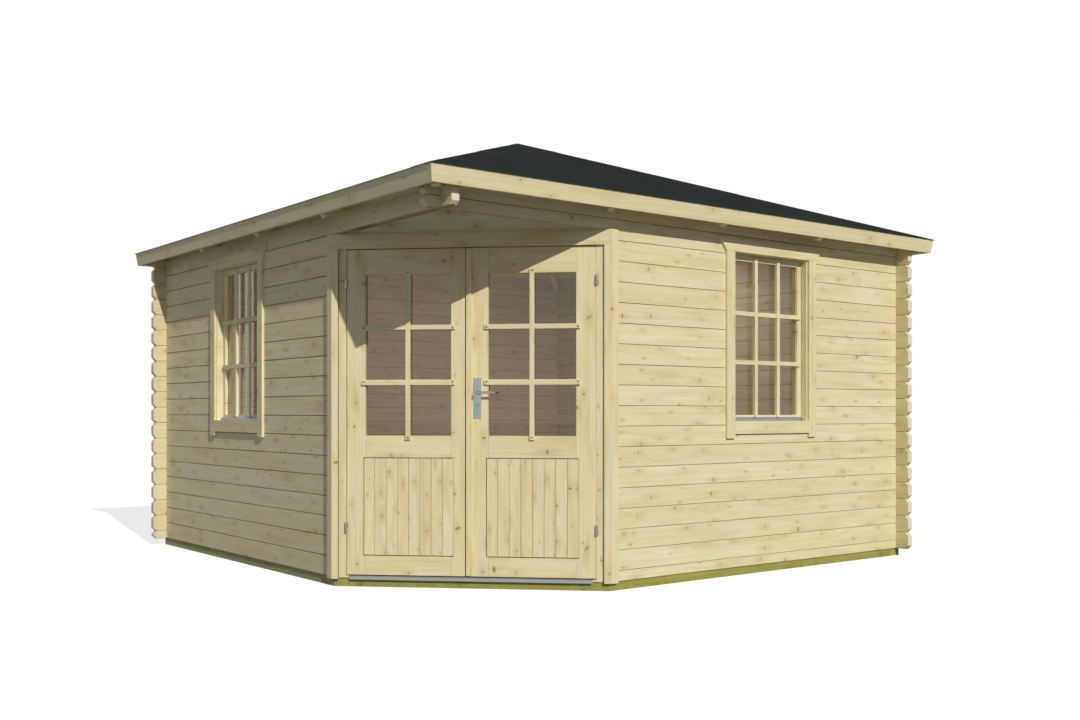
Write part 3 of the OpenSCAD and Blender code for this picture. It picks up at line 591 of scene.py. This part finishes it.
def roof_wood(name, seed, radial, pitch=None, lift=0.0, **changes):
    """Timber laid out in four quarters about the middle of the roof, along the eaves or,
    where radial, up the slopes. A pitch makes boards, the first a lift from the middle."""
    f = Finish(name)
    x, y, z = f.place()
    a, b = wall_ways(x, y)
    other = abs(b) > abs(a)
    eaves = f.choose(other, b, a)
    out = abs(a).most(abs(b))
    side = other * 2 + ((a + b) > 0)
    nx, ny, _ = f.facing()
    na, nb = wall_ways(nx, ny)
    if radial:
        return timber(f, out, eaves, z - out * SLOPE_RISE,
                      (eaves * 1.7).floor() + side * 9 + seed,
                      end=sawn_end(f.choose(other, na, nb)), **changes)
    row = side * 40 + seed
    if pitch:
        row = ((out - lift) / pitch).floor() + row
    return timber(f, eaves, out if pitch else z, out - WALL_FACE, row,
                  end=sawn_end(f.choose(other, nb, na)), **changes)


def hip_wood(name, seed):
    """The four hip rafters, which run along the plan's two long diagonals."""
    f = Finish(name)
    x, y, z = f.place()
    other = abs(y) > abs(x)
    out = abs(x).most(abs(y))
    nx, ny, _ = f.facing()
    return timber(f, out, abs(x).least(abs(y)), z - out * HIP_RISE,
                  other * 2 + ((x + y) > 0) + seed, end=sawn_end(f.choose(other, nx, ny)),
                  sawn=DEEP)


# Timber tinted green by its treatment
TREATED = dict(pale=srgb(174, 174, 98), deep=srgb(140, 141, 68), rosy=srgb(158, 152, 76),
               cream=srgb(186, 184, 112), warm=srgb(146, 138, 60), straw=srgb(170, 168, 78),
               green=srgb(146, 150, 70), late=srgb(112, 108, 46), sawn=srgb(150, 146, 78),
               dark=srgb(74, 66, 30), amber=srgb(120, 100, 40), heart=srgb(92, 78, 32),
               grey=srgb(106, 100, 48), rim=srgb(140, 128, 58), rough=0.78,
               cells=(0.32, 0.06))
# The beam under the left wall takes a greyer, bluer copy of the tint, as painted shade on that
# shaded side
SHADE_GREYED = dict(pale=srgb(186, 191, 147), deep=srgb(152, 157, 106), cream=srgb(196, 200, 160),
              warm=srgb(154, 154, 100), straw=srgb(180, 186, 128), rosy=srgb(168, 168, 118),
              green=srgb(158, 166, 112), late=srgb(122, 122, 76))


def treated_beams(name, seed):
    """Green-tinted foundation timber: four sides run along the walls, one across the front."""
    f = Finish(name)
    x, y, z = f.place()
    a, b = wall_ways(x, y)
    other = abs(b) > BEAM_EDGE
    front = y < FRONT_BEAM_BACK
    along = f.choose(front, f.choose(other, b, a), x)
    side = other * 2 + front * 5 + ((a + b) > 0)
    # Painted shade: the beam on the shaded left side takes the greyer copy of the tint
    left = (b < -BEAM_EDGE) * (y > FRONT_BEAM_FACE)
    shade_greyed = {key: f.tint(left, TREATED[key], colour) for key, colour in SHADE_GREYED.items()}
    return timber(f, along, z, f.choose(other, a, b), side + seed, **{**TREATED, **shade_greyed})


def treated_joists(name, seed):
    """Green-tinted timber under the floor, turned as the joists lie."""
    f = Finish(name)
    x, y, z = f.place(-EIGHTH)
    return timber(f, x, z, y, (y * 3).floor() + seed, end=sawn_end(f.facing(-EIGHTH)[0]),
                  **TREATED)


def floor_wood(name, seed):
    """The planks of the floor, side by side."""
    f = Finish(name)
    x, y, z = f.place(-EIGHTH)
    row = ((x - FIRST_PLANK) / PLANK_W).floor()
    return timber(f, y, x - (row + 0.5) * PLANK_W, z, row + seed, cells=(0.5, 0.08))


# ---------------------------------------------------------------- metal, glass and felt


def satin_metal(name, colour, rough, brush=(4, 4, 900), metallic=1.0):
    """Metal with fine brushing and faint handling marks. The brush is the pattern's scale in
    each direction, smallest along the strokes."""
    f = Finish(name)
    x, y, z = f.place()
    lines = f.noise(f.join(x * brush[0], y * brush[1], z * brush[2]), 1, 2)
    marks = f.noise(f.join(x, y, z), 38, 3)
    dull = tuple(c * 0.72 for c in colour[:3]) + (1,)
    shade = f.tint((marks * 0.5 + lines * 0.4).limit(), colour, dull)
    return f.set(Base_Color=shade, Metallic=metallic,
                 Roughness=(lines - 0.5) * 0.18 + (marks - 0.5) * 0.12 + rough,
                 Normal=f.bump(lines, 0.00015, 0.35))


def shaded_threshold_strip(name):
    """The threshold's metal edge, with faint scuffs all over, painted shade on the faces that
    point up and along the top of its front, and a painted dark green shadow along its foot."""
    f = Finish(name)
    x, y, z = f.place()
    lines = f.noise(f.join(x * 6, y * 700, z * 700), 1, 2)
    scuffs = f.noise(f.join(x * 30, y * 160, z * 40), 1, 3)
    # Painted shade on the faces that point up
    painted_top_shade = (f.facing()[2] * 1.4 - 0.2).limit()
    colour = f.tint((scuffs * 0.5 + lines * 0.3).limit(), srgb(164, 168, 166), srgb(140, 144, 142))
    painted_shade_grey = srgb(112, 110, 106)
    low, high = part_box("threshold_strip")
    colour = f.tint(painted_top_shade * 0.85, colour, painted_shade_grey)
    # Painted shade along the top of the front, under the leaf
    colour = f.tint(z.over(high.z - 0.007, 0.004) * 0.7, colour, painted_shade_grey)
    # A painted dark green shadow along the foot
    colour = f.tint(z.under(low.z + 0.0045, 0.002) * 0.85, colour, srgb(60, 62, 40))
    return f.set(Base_Color=colour, Metallic=0.35, Roughness=scuffs * 0.2 + 0.36,
                 Normal=f.bump(lines + scuffs, 0.0002, 0.35))


def dark_metal(name, colour, rough):
    """Dull metal with specks of rust."""
    f = Finish(name)
    speck = f.noise(f.object_place(), 900, 2)
    return f.set(Base_Color=f.tint(speck * 0.5, colour, srgb(70, 60, 44)), Specular_IOR_Level=0.1,
                 Roughness=(speck - 0.5) * 0.2 + rough)


def window_glass(name):
    """A clear pane that mirrors more towards its edge-on view, with a trace of dust."""
    f = Finish(name)
    edge_on = f.node("LayerWeight", inputs={"Blend": 0.5}, out="Facing")
    dust = f.noise(f.object_place(), 5, 4, 0.65)
    mirror = (edge_on ** 5 * 1.6).least(0.9) + 0.022 + dust * 0.014
    clear = f.node("BsdfTransparent", inputs={"Color": (0.95, 0.93, 0.90, 1)})
    gloss = f.node("BsdfGlossy", inputs={"Color": (1, 1, 1, 1), "Roughness": 0.015})
    pane = f.node("MixShader", inputs={0: mirror, 1: clear, 2: gloss})
    f.tree.nodes.remove(f.shader)
    f.tree.links.new(pane.socket, f.tree.nodes["Material Output"].inputs["Surface"])
    return f.material


def roofing_felt(name):
    """Bitumen felt with fine mineral grit, a little paler where the grit lies thick."""
    f = Finish(name)
    place = f.object_place()
    grit = f.noise(place, 420, 2, 0.7)
    drift = f.noise(place, 1.7, 3)
    fleck = f.node("TexVoronoi", inputs={"Vector": place, "Scale": 310.0}, out="Color")
    bright, _, _ = f.split(fleck)
    colour = f.tint((grit * 2 - 0.6).limit(), srgb(37, 41, 41), srgb(50, 54, 53))
    colour = f.tint((drift * 2 - 0.6).limit() * 0.35, colour, srgb(58, 63, 60))
    colour = f.tint((bright > 0.93) * 0.5, colour, srgb(92, 98, 94))
    return f.set(Base_Color=colour, Roughness=(grit - 0.5) * 0.1 + 0.92, Specular_IOR_Level=0.0,
                 Normal=f.bump(grit + bright * 0.5, 0.0008, 0.5))


# ---------------------------------------------------------------- pieces


def in_scene(name, data):
    """A new object of the scene, from a mesh, a lamp or a camera."""
    made = bpy.data.objects.new(name, data)
    bpy.context.scene.collection.objects.link(made)
    return made


def finished(name, mesh, material):
    """A bmesh as an object of one material."""
    data = bpy.data.meshes.new(name)
    mesh.to_mesh(data)
    mesh.free()
    data.materials.append(material)
    return in_scene(name, data)


def new_piece(name, mesh, body, material, replaced=()):
    """Makes a bmesh a piece that rides on a body and may stand for CAD nodes."""
    bmesh.ops.recalc_face_normals(mesh, faces=mesh.faces)
    piece = finished(name, mesh, material)
    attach(piece, body)
    if replaced:
        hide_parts(*replaced)


def bevel(mesh, edges, width, segments=1):
    bmesh.ops.bevel(mesh, geom=list(edges), offset=width, offset_type="OFFSET",
                    affect="EDGES", segments=segments, profile=0.5, material=-1)


def only_verts(geom):
    return [v for v in geom if isinstance(v, bmesh.types.BMVert)]


def edges_of(verts):
    return {e for v in verts for e in v.link_edges}


def square_to(edge, way):
    """Whether an edge lies square to a direction."""
    return abs((edge.verts[0].co - edge.verts[1].co).normalized().dot(way)) < 1e-3


def cut(mesh, point, normal, keep=False):
    """Cuts a mesh at a plane, and unless both halves are kept, takes away what lies on the
    normal's side."""
    bmesh.ops.bisect_plane(mesh, geom=mesh.verts[:] + mesh.edges[:] + mesh.faces[:],
                           plane_co=point, plane_no=normal, clear_outer=not keep)


def block(mesh, low, high, ease=0.0):
    """A block between two corners, with its edges eased by that much."""
    size = Vector(high) - Vector(low)
    made = bmesh.ops.create_cube(mesh, size=1)["verts"]
    bmesh.ops.scale(mesh, vec=size, verts=made)
    bmesh.ops.translate(mesh, vec=Vector(low) + size / 2, verts=made)
    if ease:
        bevel(mesh, edges_of(made), ease)


def board_faces(outline, along, pitch, gap, first, count):
    """Flat boards cut from an outline, side by side along a direction from a first edge."""
    out = bmesh.new()
    for row in range(count):
        strip = bmesh.new()
        strip.faces.new([strip.verts.new(corner) for corner in outline])
        cut(strip, along * (first + (row + 1) * pitch - gap / 2), along)
        if strip.faces:
            cut(strip, along * (first + row * pitch + gap / 2), -along)
        if strip.faces:
            spare = bpy.data.meshes.new("strip")
            strip.to_mesh(spare)
            out.from_mesh(spare)
            bpy.data.meshes.remove(spare)
        strip.free()
    return out


def thicken(mesh, rise):
    """Gives flat faces a thickness along a direction."""
    made = bmesh.ops.extrude_face_region(mesh, geom=mesh.faces[:], use_keep_orig=True)
    bmesh.ops.translate(mesh, vec=rise, verts=only_verts(made["geom"]))
    bmesh.ops.recalc_face_normals(mesh, faces=mesh.faces)


def floor_planks(material):
    """Planks over the joists, with eased long edges."""
    low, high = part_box("floor_boards")
    side = high.x
    front = low.y
    outline = [Vector((front + side, front, low.z)), Vector((side, 0, low.z)),
               Vector((0, high.y, low.z)), Vector((-side, 0, low.z)),
               Vector((-front - side, front, low.z))]
    along = Vector((1, 1, 0)).normalized()
    half = side / ROOT2
    mesh = board_faces(outline, along, 2 * half / PLANK_COUNT, 0.0012, -half, PLANK_COUNT)
    thicken(mesh, UP * (high.z - low.z))
    top = [e for e in mesh.edges
           if all(v.co.z > high.z - 1e-5 for v in e.verts) and square_to(e, along)]
    bevel(mesh, top, 0.0015)
    new_piece("floor_planks", mesh, "cabin", material, ["floor_boards"])


def first_roof_board(edge):
    """How many boards lie between the middle and an eaves edge, and where the first starts."""
    count = int(edge / ROOF_BOARD_W) + 1
    return count, edge - count * ROOF_BOARD_W


def roof_planks():
    """Boards along the eaves on all four slopes, with a V where they meet underneath."""
    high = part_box("roof_boards")[1]
    reach = high.x
    rise = ROOF_BOARD_T / math.cos(ROOF_PITCH)
    slope = math.tan(ROOF_PITCH)
    under_top = high.z - rise
    eave_z = under_top - reach / ROOT2 * slope
    out = Vector((1, -1, 0)).normalized()
    gap = 0.0012
    outline = [Vector((gap, -reach + gap, eave_z)), Vector((reach - gap, -gap, eave_z)),
               Vector((0.0008, -0.0008, under_top))]
    count, start = first_roof_board(reach / ROOT2)
    mesh = board_faces(outline, out, ROOF_BOARD_W, 0.0008, start, count)
    thicken(mesh, UP * rise)

    def underneath(edge):
        middle = (edge.verts[0].co + edge.verts[1].co) / 2
        return middle.z + middle.dot(out) * slope < under_top + rise / 2

    under = [e for e in mesh.edges
             if square_to(e, out) and abs(e.verts[0].co.z - e.verts[1].co.z) < 1e-5
             and underneath(e)]
    bevel(mesh, under, 0.003)
    one_slope = mesh.verts[:] + mesh.edges[:] + mesh.faces[:]
    for turn in (90, 180, 270):
        copy = bmesh.ops.duplicate(mesh, geom=one_slope)["geom"]
        bmesh.ops.rotate(mesh, cent=(0, 0, 0), verts=only_verts(copy),
                         matrix=Matrix.Rotation(math.radians(turn), 3, "Z"))
    wood = roof_wood("roof_board_wood", 1300, False, ROOF_BOARD_W, start, **SOFFIT_PAINTED_LIGHT)
    new_piece("roof_planks", mesh, "cabin", wood, ["roof_boards"])


def felt_cover(material):
    """Sheets of felt along the eaves, each over the one below, with a strip over each hip."""
    low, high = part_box("roof_felt")
    reach = high.x
    rise = FELT_RISE - 2 * FELT_LAP
    tip = high.z - FELT_RISE
    slope = (tip - low.z) / reach
    mesh = bmesh.new()
    bmesh.ops.create_cone(mesh, segments=4, radius1=reach, radius2=0, depth=tip - low.z,
                          cap_ends=False)
    bmesh.ops.translate(mesh, vec=(0, 0, (tip + low.z) / 2), verts=mesh.verts)
    bmesh.ops.remove_doubles(mesh, verts=mesh.verts, dist=1e-4)
    thicken(mesh, UP * rise)

    def on_top(v):
        return v.co.z > tip - (abs(v.co.x) + abs(v.co.y)) * slope + rise / 2

    step = 0.0012
    for share in FELT_SHEETS:
        level = low.z + rise + (tip - low.z) * share
        for shift in (0, step):
            cut(mesh, UP * (level + shift), UP, keep=True)
        for v in mesh.verts:
            if on_top(v) and abs(v.co.z - level - step) < 2e-4:
                v.co.z += FELT_LAP
    for way in (Vector((1, 0, 0)), Vector((0, 1, 0))):
        for side in (-1, 1):
            for shift in (0, 0.0025):
                cut(mesh, way * side * (HIP_STRIP + shift), way, keep=True)
    for v in mesh.verts:
        if on_top(v) and min(abs(v.co.x), abs(v.co.y)) < HIP_STRIP + 1e-4:
            v.co.z += FELT_LAP
    new_piece("felt_cover", mesh, "cabin", material, ["roof_felt"])


def screw_head(mesh, place, axis, radius=0.0048, height=0.0012):
    """A small domed screw head that stands on a face, out along an axis."""
    made = bmesh.ops.create_cone(mesh, cap_ends=True, segments=12, radius1=radius,
                                 radius2=radius * 0.7, depth=height)
    turn = UP.rotation_difference(axis).to_matrix()
    bmesh.ops.rotate(mesh, cent=(0, 0, 0), matrix=turn, verts=made["verts"])
    bmesh.ops.translate(mesh, vec=Vector(place) + axis * height / 2, verts=made["verts"])


def bar_screws(name, bars, body, middle, material):
    """A screw at each end of a leaf's glazing bars."""
    low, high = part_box(bars)
    mesh = bmesh.new()
    out = Vector((0, -1, 0))
    inset = 0.012
    for x in (low.x + inset, high.x - inset):
        for z in LEAF_BARS_Z:
            screw_head(mesh, (x, low.y, z), out)
    for z in (low.z + inset, high.z - inset):
        screw_head(mesh, (middle, low.y, z), out)
    new_piece(name, mesh, body, material)


def edge_strips(material):
    """A pine strip on each post, which narrows the gap beside the leaf's outer edge. The left
    one is set back, so that its gap stays the deeper."""
    foot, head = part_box("left_leaf")[0].z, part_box("left_leaf")[1].z
    inner = DOORWAY_HALF - 0.0044
    mesh = bmesh.new()
    for ends, set_back in (((-DOORWAY_HALF, -inner), 0.012), ((inner, DOORWAY_HALF), 0.001)):
        face = FRONT_FACE + set_back
        block(mesh, (ends[0], face, foot), (ends[1], face + 0.013, head), 0.0004)
    new_piece("door_edge_strips", mesh, "cabin", material)


def bar_backs(name, body, place, half, uprights, levels, foot, head, face, material):
    """The backs of the glazing bars, between the bars' faces and the glass. The place turns
    distances along, behind and above into the cabin's own."""
    wide = BAR_BACK_HALF
    upright_back, level_back, ease = face + 0.0075, face + 0.0070, 0.001
    mesh = bmesh.new()
    for x in uprights:
        block(mesh, (x - wide, face, foot), (x + wide, upright_back, head), ease)
    for z in levels:
        block(mesh, (-half, face, z - wide), (half, level_back, z + wide), ease)
    bmesh.ops.transform(mesh, matrix=place, verts=mesh.verts)
    new_piece(name, mesh, body, material)


def window_place(side):
    """From distances along the wall from a window's middle, in from the wall's face and up."""
    across = Matrix(((side, 0, 0, 0), (0, 1, 0, 0), (0, 0, 1, 0), (0, 0, 0, 1)))
    turned = Matrix.Rotation(EIGHTH, 4, "Z")
    return across @ turned @ Matrix.Translation((WINDOW_AT, -WALL_FACE, 0))


def hinge_caps(material):
    """The domed ends of the hinge pins."""
    low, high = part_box("frame_hinges")
    barrel_r, cap_r = 0.007, 0.0066
    pin_length = 0.052
    mesh = bmesh.new()
    for x in (-DOORWAY_HALF, DOORWAY_HALF):
        for z in (low.z, low.z + pin_length, high.z - pin_length, high.z):
            made = bmesh.ops.create_uvsphere(mesh, u_segments=20, v_segments=10,
                                             radius=cap_r)["verts"]
            bmesh.ops.scale(mesh, vec=(1, 1, 0.6), verts=made)
            bmesh.ops.translate(mesh, vec=(x, low.y + barrel_r, z), verts=made)
    new_piece("hinge_caps", mesh, "cabin", material)


def plate_fittings(metal, dark):
    """The lock cylinder and the screws on both handle plates, and a thin dark block on each
    cylinder, painted as the shade in the key's slot.
    """
    low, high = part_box("handle_plates")
    x = (low.x + high.x) / 2
    lock = LEVER_Z - 0.072
    screw_in = 0.013
    cylinder_half, cylinder_foot, cylinder_head = 0.0048, lock - 0.022, lock - 0.004
    slot_half, slot_reach = 0.0011, 0.0041
    mesh = bmesh.new()
    slot_shade = bmesh.new()
    for way, y in ((-1, low.y), (1, high.y)):
        out = Vector((0, way, 0))
        for z in (low.z + screw_in, high.z - screw_in):
            screw_head(mesh, (x, y, z), out, radius=0.0042, height=0.0014)
        screw_head(mesh, (x, y, lock), out, radius=0.0086, height=0.0030)
        proud = y + way * 0.0026
        block(mesh, (x - cylinder_half, min(y, proud), cylinder_foot),
              (x + cylinder_half, max(y, proud), cylinder_head), 0.0008)
        # A thin dark block on the cylinder face, painted as the shade in the key's slot
        face = y + way * 0.0028
        back = face + way * 0.0006
        block(slot_shade, (x - slot_half, min(face, back), lock - slot_reach),
              (x + slot_half, max(face, back), lock + slot_reach))
    new_piece("plate_fittings", mesh, "right_door", metal)
    new_piece("key_slot_shade", slot_shade, "right_door", dark)


def lever_grip(material):
    """The lever handles on both faces of the door, rounded along the grip, on a round neck."""
    low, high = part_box("door_lever")
    neck_x = low.x + 0.009
    tip = high.x - 0.010
    grip_t, grip_h = 0.009, 0.013
    neck_r, neck_length = 0.0072, 0.040
    mesh = bmesh.new()
    for side, face in ((-1, low.y), (1, high.y)):
        grip = bmesh.ops.create_cube(mesh, size=1)["verts"]
        bmesh.ops.scale(mesh, vec=(tip - neck_x, grip_t, grip_h), verts=grip)
        bmesh.ops.translate(mesh, vec=((tip + neck_x) / 2, face - side * grip_t / 2, LEVER_Z),
                            verts=grip)
        bevel(mesh, edges_of(grip), 0.0042, 4)
        neck = bmesh.ops.create_cone(mesh, cap_ends=True, segments=24, radius1=neck_r,
                                     radius2=neck_r, depth=neck_length)["verts"]
        bmesh.ops.rotate(mesh, cent=(0, 0, 0), matrix=Matrix.Rotation(math.pi / 2, 3, "X"),
                         verts=neck)
        behind = side * (grip_t + neck_length) / 2
        bmesh.ops.translate(mesh, vec=(neck_x, face - behind, LEVER_Z), verts=neck)
    new_piece("lever_grip", mesh, "lever", material, ["door_lever"])


# ---------------------------------------------------------------- finishes on the parts

steel = satin_metal("brushed_zinc", srgb(152, 159, 167), 0.34)
hinge_steel = satin_metal("hinge_zinc", srgb(150, 154, 148), 0.36, metallic=0.6)
nickel = satin_metal("lever_nickel", srgb(164, 154, 147), 0.34, (900, 4, 4), 0.5)
aluminium = satin_metal("satin_aluminium", srgb(156, 165, 176), 0.42, (6, 500, 6), 0.6)
screw_steel = dark_metal("dark_screws", srgb(48, 40, 28), 0.5)
felt = roofing_felt("black_felt")
leaf_bar_wood = glazing_bars("leaf_bar_wood", LEAF_BARS_Z, 480, False)
window_bar_wood = glazing_bars("window_bar_wood", WINDOW_BARS_Z, 500, True)

# Whole numbers from 3 to 1300 are where each finish's board numbers start, so that every board
# has its own tone and knots
finishes = {
    "left_wall_odd_courses left_wall_even_courses": log_wall(
        "left_wall_logs", EIGHTH, 0, 3, joint_shade=0.0068),
    "back_right_wall_odd_courses back_right_wall_even_courses": log_wall(
        "back_right_wall_logs", EIGHTH, 0, 43, SHADED_ROOM_PINE),
    "right_wall_odd_courses right_wall_even_courses": log_wall(
        "right_wall_logs", -EIGHTH, COURSE / 2, 83),
    "back_left_wall_odd_courses back_left_wall_even_courses": log_wall(
        "back_left_wall_logs", -EIGHTH, COURSE / 2, 123, **SHELTERED),
    "front_wall_log front_gable": level_board("gable_boards", 301, COURSE, **SOFFIT_PAINTED_LIGHT),
    "door_head threshold": level_board("door_head_wood", 322, **JOINERY),
    "door_posts": upright("door_post_wood", 340, **JOINERY),
    "door_trims": door_trim("door_trim_wood", 360),
    "cover_strip": upright("cover_strip_wood", 380, size=0.7, **JOINERY),
    "left_leaf": door_leaf("left_leaf_wood", -LEAF_MIDDLE, 400),
    "right_leaf": door_leaf("right_leaf_wood", LEAF_MIDDLE, 420),
    "left_leaf_panel": leaf_panel("left_panel_boards", "left_leaf_panel", 440),
    "right_leaf_panel": leaf_panel("right_panel_boards", "right_leaf_panel", 460),
    "left_leaf_bars right_leaf_bars": leaf_bar_wood,
    "window_bars": window_bar_wood,
    "window_frames": window_wood("window_frame_wood", FRAME_HALF, 520),
    "window_sashes": window_wood("window_sash_wood", SASH_HALF, 540),
    "window_trims": window_wood("window_trim_wood", TRIM_HALF, 560, TRIM_HEAD, size=1.1),
    "foundation_beams": treated_beams("treated_beam", 600),
    "floor_joists": treated_joists("treated_joist", 620),
    "hip_rafters": hip_wood("hip_rafter_wood", 640),
    "slope_rafters": roof_wood("rafter_wood", 660, True),
    "eave_fillers": roof_wood("eave_board_wood", 700, False),
    "fascia_boards": roof_wood("fascia_wood", 902, False, cells=(0.36, 0.09), size=1.1),
    "crown_block": upright("crown_block_wood", 1100),
    "left_leaf_glass right_leaf_glass window_glass": window_glass("clear_panes"),
    "frame_hinges left_leaf_hinges right_leaf_hinges": hinge_steel,
    "handle_plates": steel,
    "door_lever": nickel,
    "threshold_strip": shaded_threshold_strip("threshold_metal"),
    "window_drips": aluminium,
    "roof_felt": felt,
}
for names, material in finishes.items():
    for name in names.split():
        data = NODES[name].data
        data.materials.clear()
        data.materials.append(material)

floor_planks(floor_wood("floor_planking", 1200))
roof_planks()
felt_cover(felt)
bar_screws("left_bar_screws", "left_leaf_bars", "left_door", -LEAF_MIDDLE, screw_steel)
bar_screws("right_bar_screws", "right_leaf_bars", "right_door", LEAF_MIDDLE, screw_steel)
lever_grip(nickel)
plate_fittings(steel, screw_steel)
hinge_caps(hinge_steel)
edge_strips(upright("edge_strip_wood", 390, **JOINERY))
for side, leaf in ((-1, "left"), (1, "right")):
    bar_backs(leaf + "_leaf_bar_backs", leaf + "_door",
              Matrix.Translation((side * LEAF_MIDDLE, FRONT_FACE, 0)), LEAF_PANE_W / 2, [0],
              LEAF_BARS_Z, LEAF_PANE_FOOT, LEAF_PANE_HEAD, 0, leaf_bar_wood)
    bar_backs(leaf + "_window_bar_backs", "cabin", window_place(side), SASH_HALF,
              [-WINDOW_UPRIGHT, WINDOW_UPRIGHT], WINDOW_BARS_Z, window_low.z + GROOVE,
              window_high.z - GROOVE, SASH_SET, window_bar_wood)

# ---------------------------------------------------------------- floor, light and camera

FLOOR_HALF = 90


def studio_floor():
    """A pale floor that keeps the cabin's shadow. What looks at it directly, in a mirror or
    through glass sees it nearly white; the light that it throws back is that of a duller floor."""
    f = Finish("studio_floor")
    seen = seen_directly(f)
    duller, pale = (0.218, 0.232, 0.232, 1), (0.44, 0.44, 0.44, 1)
    unlit, glow = (0, 0, 0, 1), (0.70, 0.70, 0.70, 1)
    f.set(Base_Color=f.tint(seen, duller, pale), Roughness=0.9, Specular_IOR_Level=0.0,
          Emission_Color=f.tint(seen, unlit, glow), Emission_Strength=1.0)
    mesh = bmesh.new()
    bmesh.ops.create_grid(mesh, x_segments=1, y_segments=1, size=FLOOR_HALF)
    floor = finished("studio_floor", mesh, f.material)


def seen_directly(nodes):
    """1 for what the camera sees, also in a mirror or through glass."""
    seen = nodes.node("LightPath", out=("Is Camera Ray", "Is Glossy Ray", "Is Transmission Ray"))
    return seen[0].most(seen[1]).most(seen[2])


def distant_lamp(name, energy, spread, colour, towards):
    """A lamp so far away that its light is parallel, from a direction."""
    lamp = bpy.data.lights.new(name, "SUN")
    lamp.energy = energy
    lamp.angle = math.radians(spread)
    lamp.color = colour
    holder = in_scene(name, lamp)
    holder.rotation_euler = Vector(towards).to_track_quat("Z", "Y").to_euler()


def room_lamp(energy, size, colour, place):
    """A soft lamp under the roof, which shows the room through the glass."""
    lamp = bpy.data.lights.new("room_lamp", "AREA")
    lamp.energy = energy
    lamp.size = size
    lamp.color = colour
    holder = in_scene("room_lamp", lamp)
    holder.location = place
    holder.visible_camera = False
    holder.visible_glossy = False


def studio_sky(strength, colour):
    """An even, dim sky for the light and a white one for what looks at it directly."""
    world = bpy.data.worlds.new("studio_sky")
    bpy.context.scene.world = world
    world.use_nodes = True
    world.node_tree.nodes.clear()
    sky = Nodes(world.node_tree)
    fill = sky.node("Background", inputs={"Color": colour, "Strength": strength})
    white = sky.node("Background", inputs={"Color": (1, 1, 1, 1), "Strength": 1.0})
    both = sky.node("MixShader", inputs={0: seen_directly(sky), 1: fill, 2: white})
    sky.node("OutputWorld", inputs={"Surface": both}, out=None)


studio_floor()
distant_lamp("key_light", 2.96, 0.6, (1.0, 0.985, 0.95), (0.4681, -0.7098, 0.5264))
distant_lamp("soft_front", 0.16, 40, (0.90, 0.95, 1.0), (-0.25, -0.95, 0.15))
distant_lamp("soft_back", 0.9, 60, (0.95, 0.98, 1.0), (-0.3, 0.9, 0.3))
room_lamp(12.5, 1.6, (0.92, 0.88, 0.95), (0.7, 0.3, 2.16))
studio_sky(0.202, (0.88, 0.97, 1.11, 1))

lens = bpy.data.cameras.new("camera")
lens.sensor_width = 36
lens.lens = 38.79
lens.shift_y = 0.0480
camera = in_scene("camera", lens)
camera.location = (1.1840, -8.2600, 0.9858)
camera.rotation_euler = (math.pi / 2, 0, 0.1231)
bpy.context.scene.camera = camera
bpy.context.scene.view_settings.view_transform = "Standard"
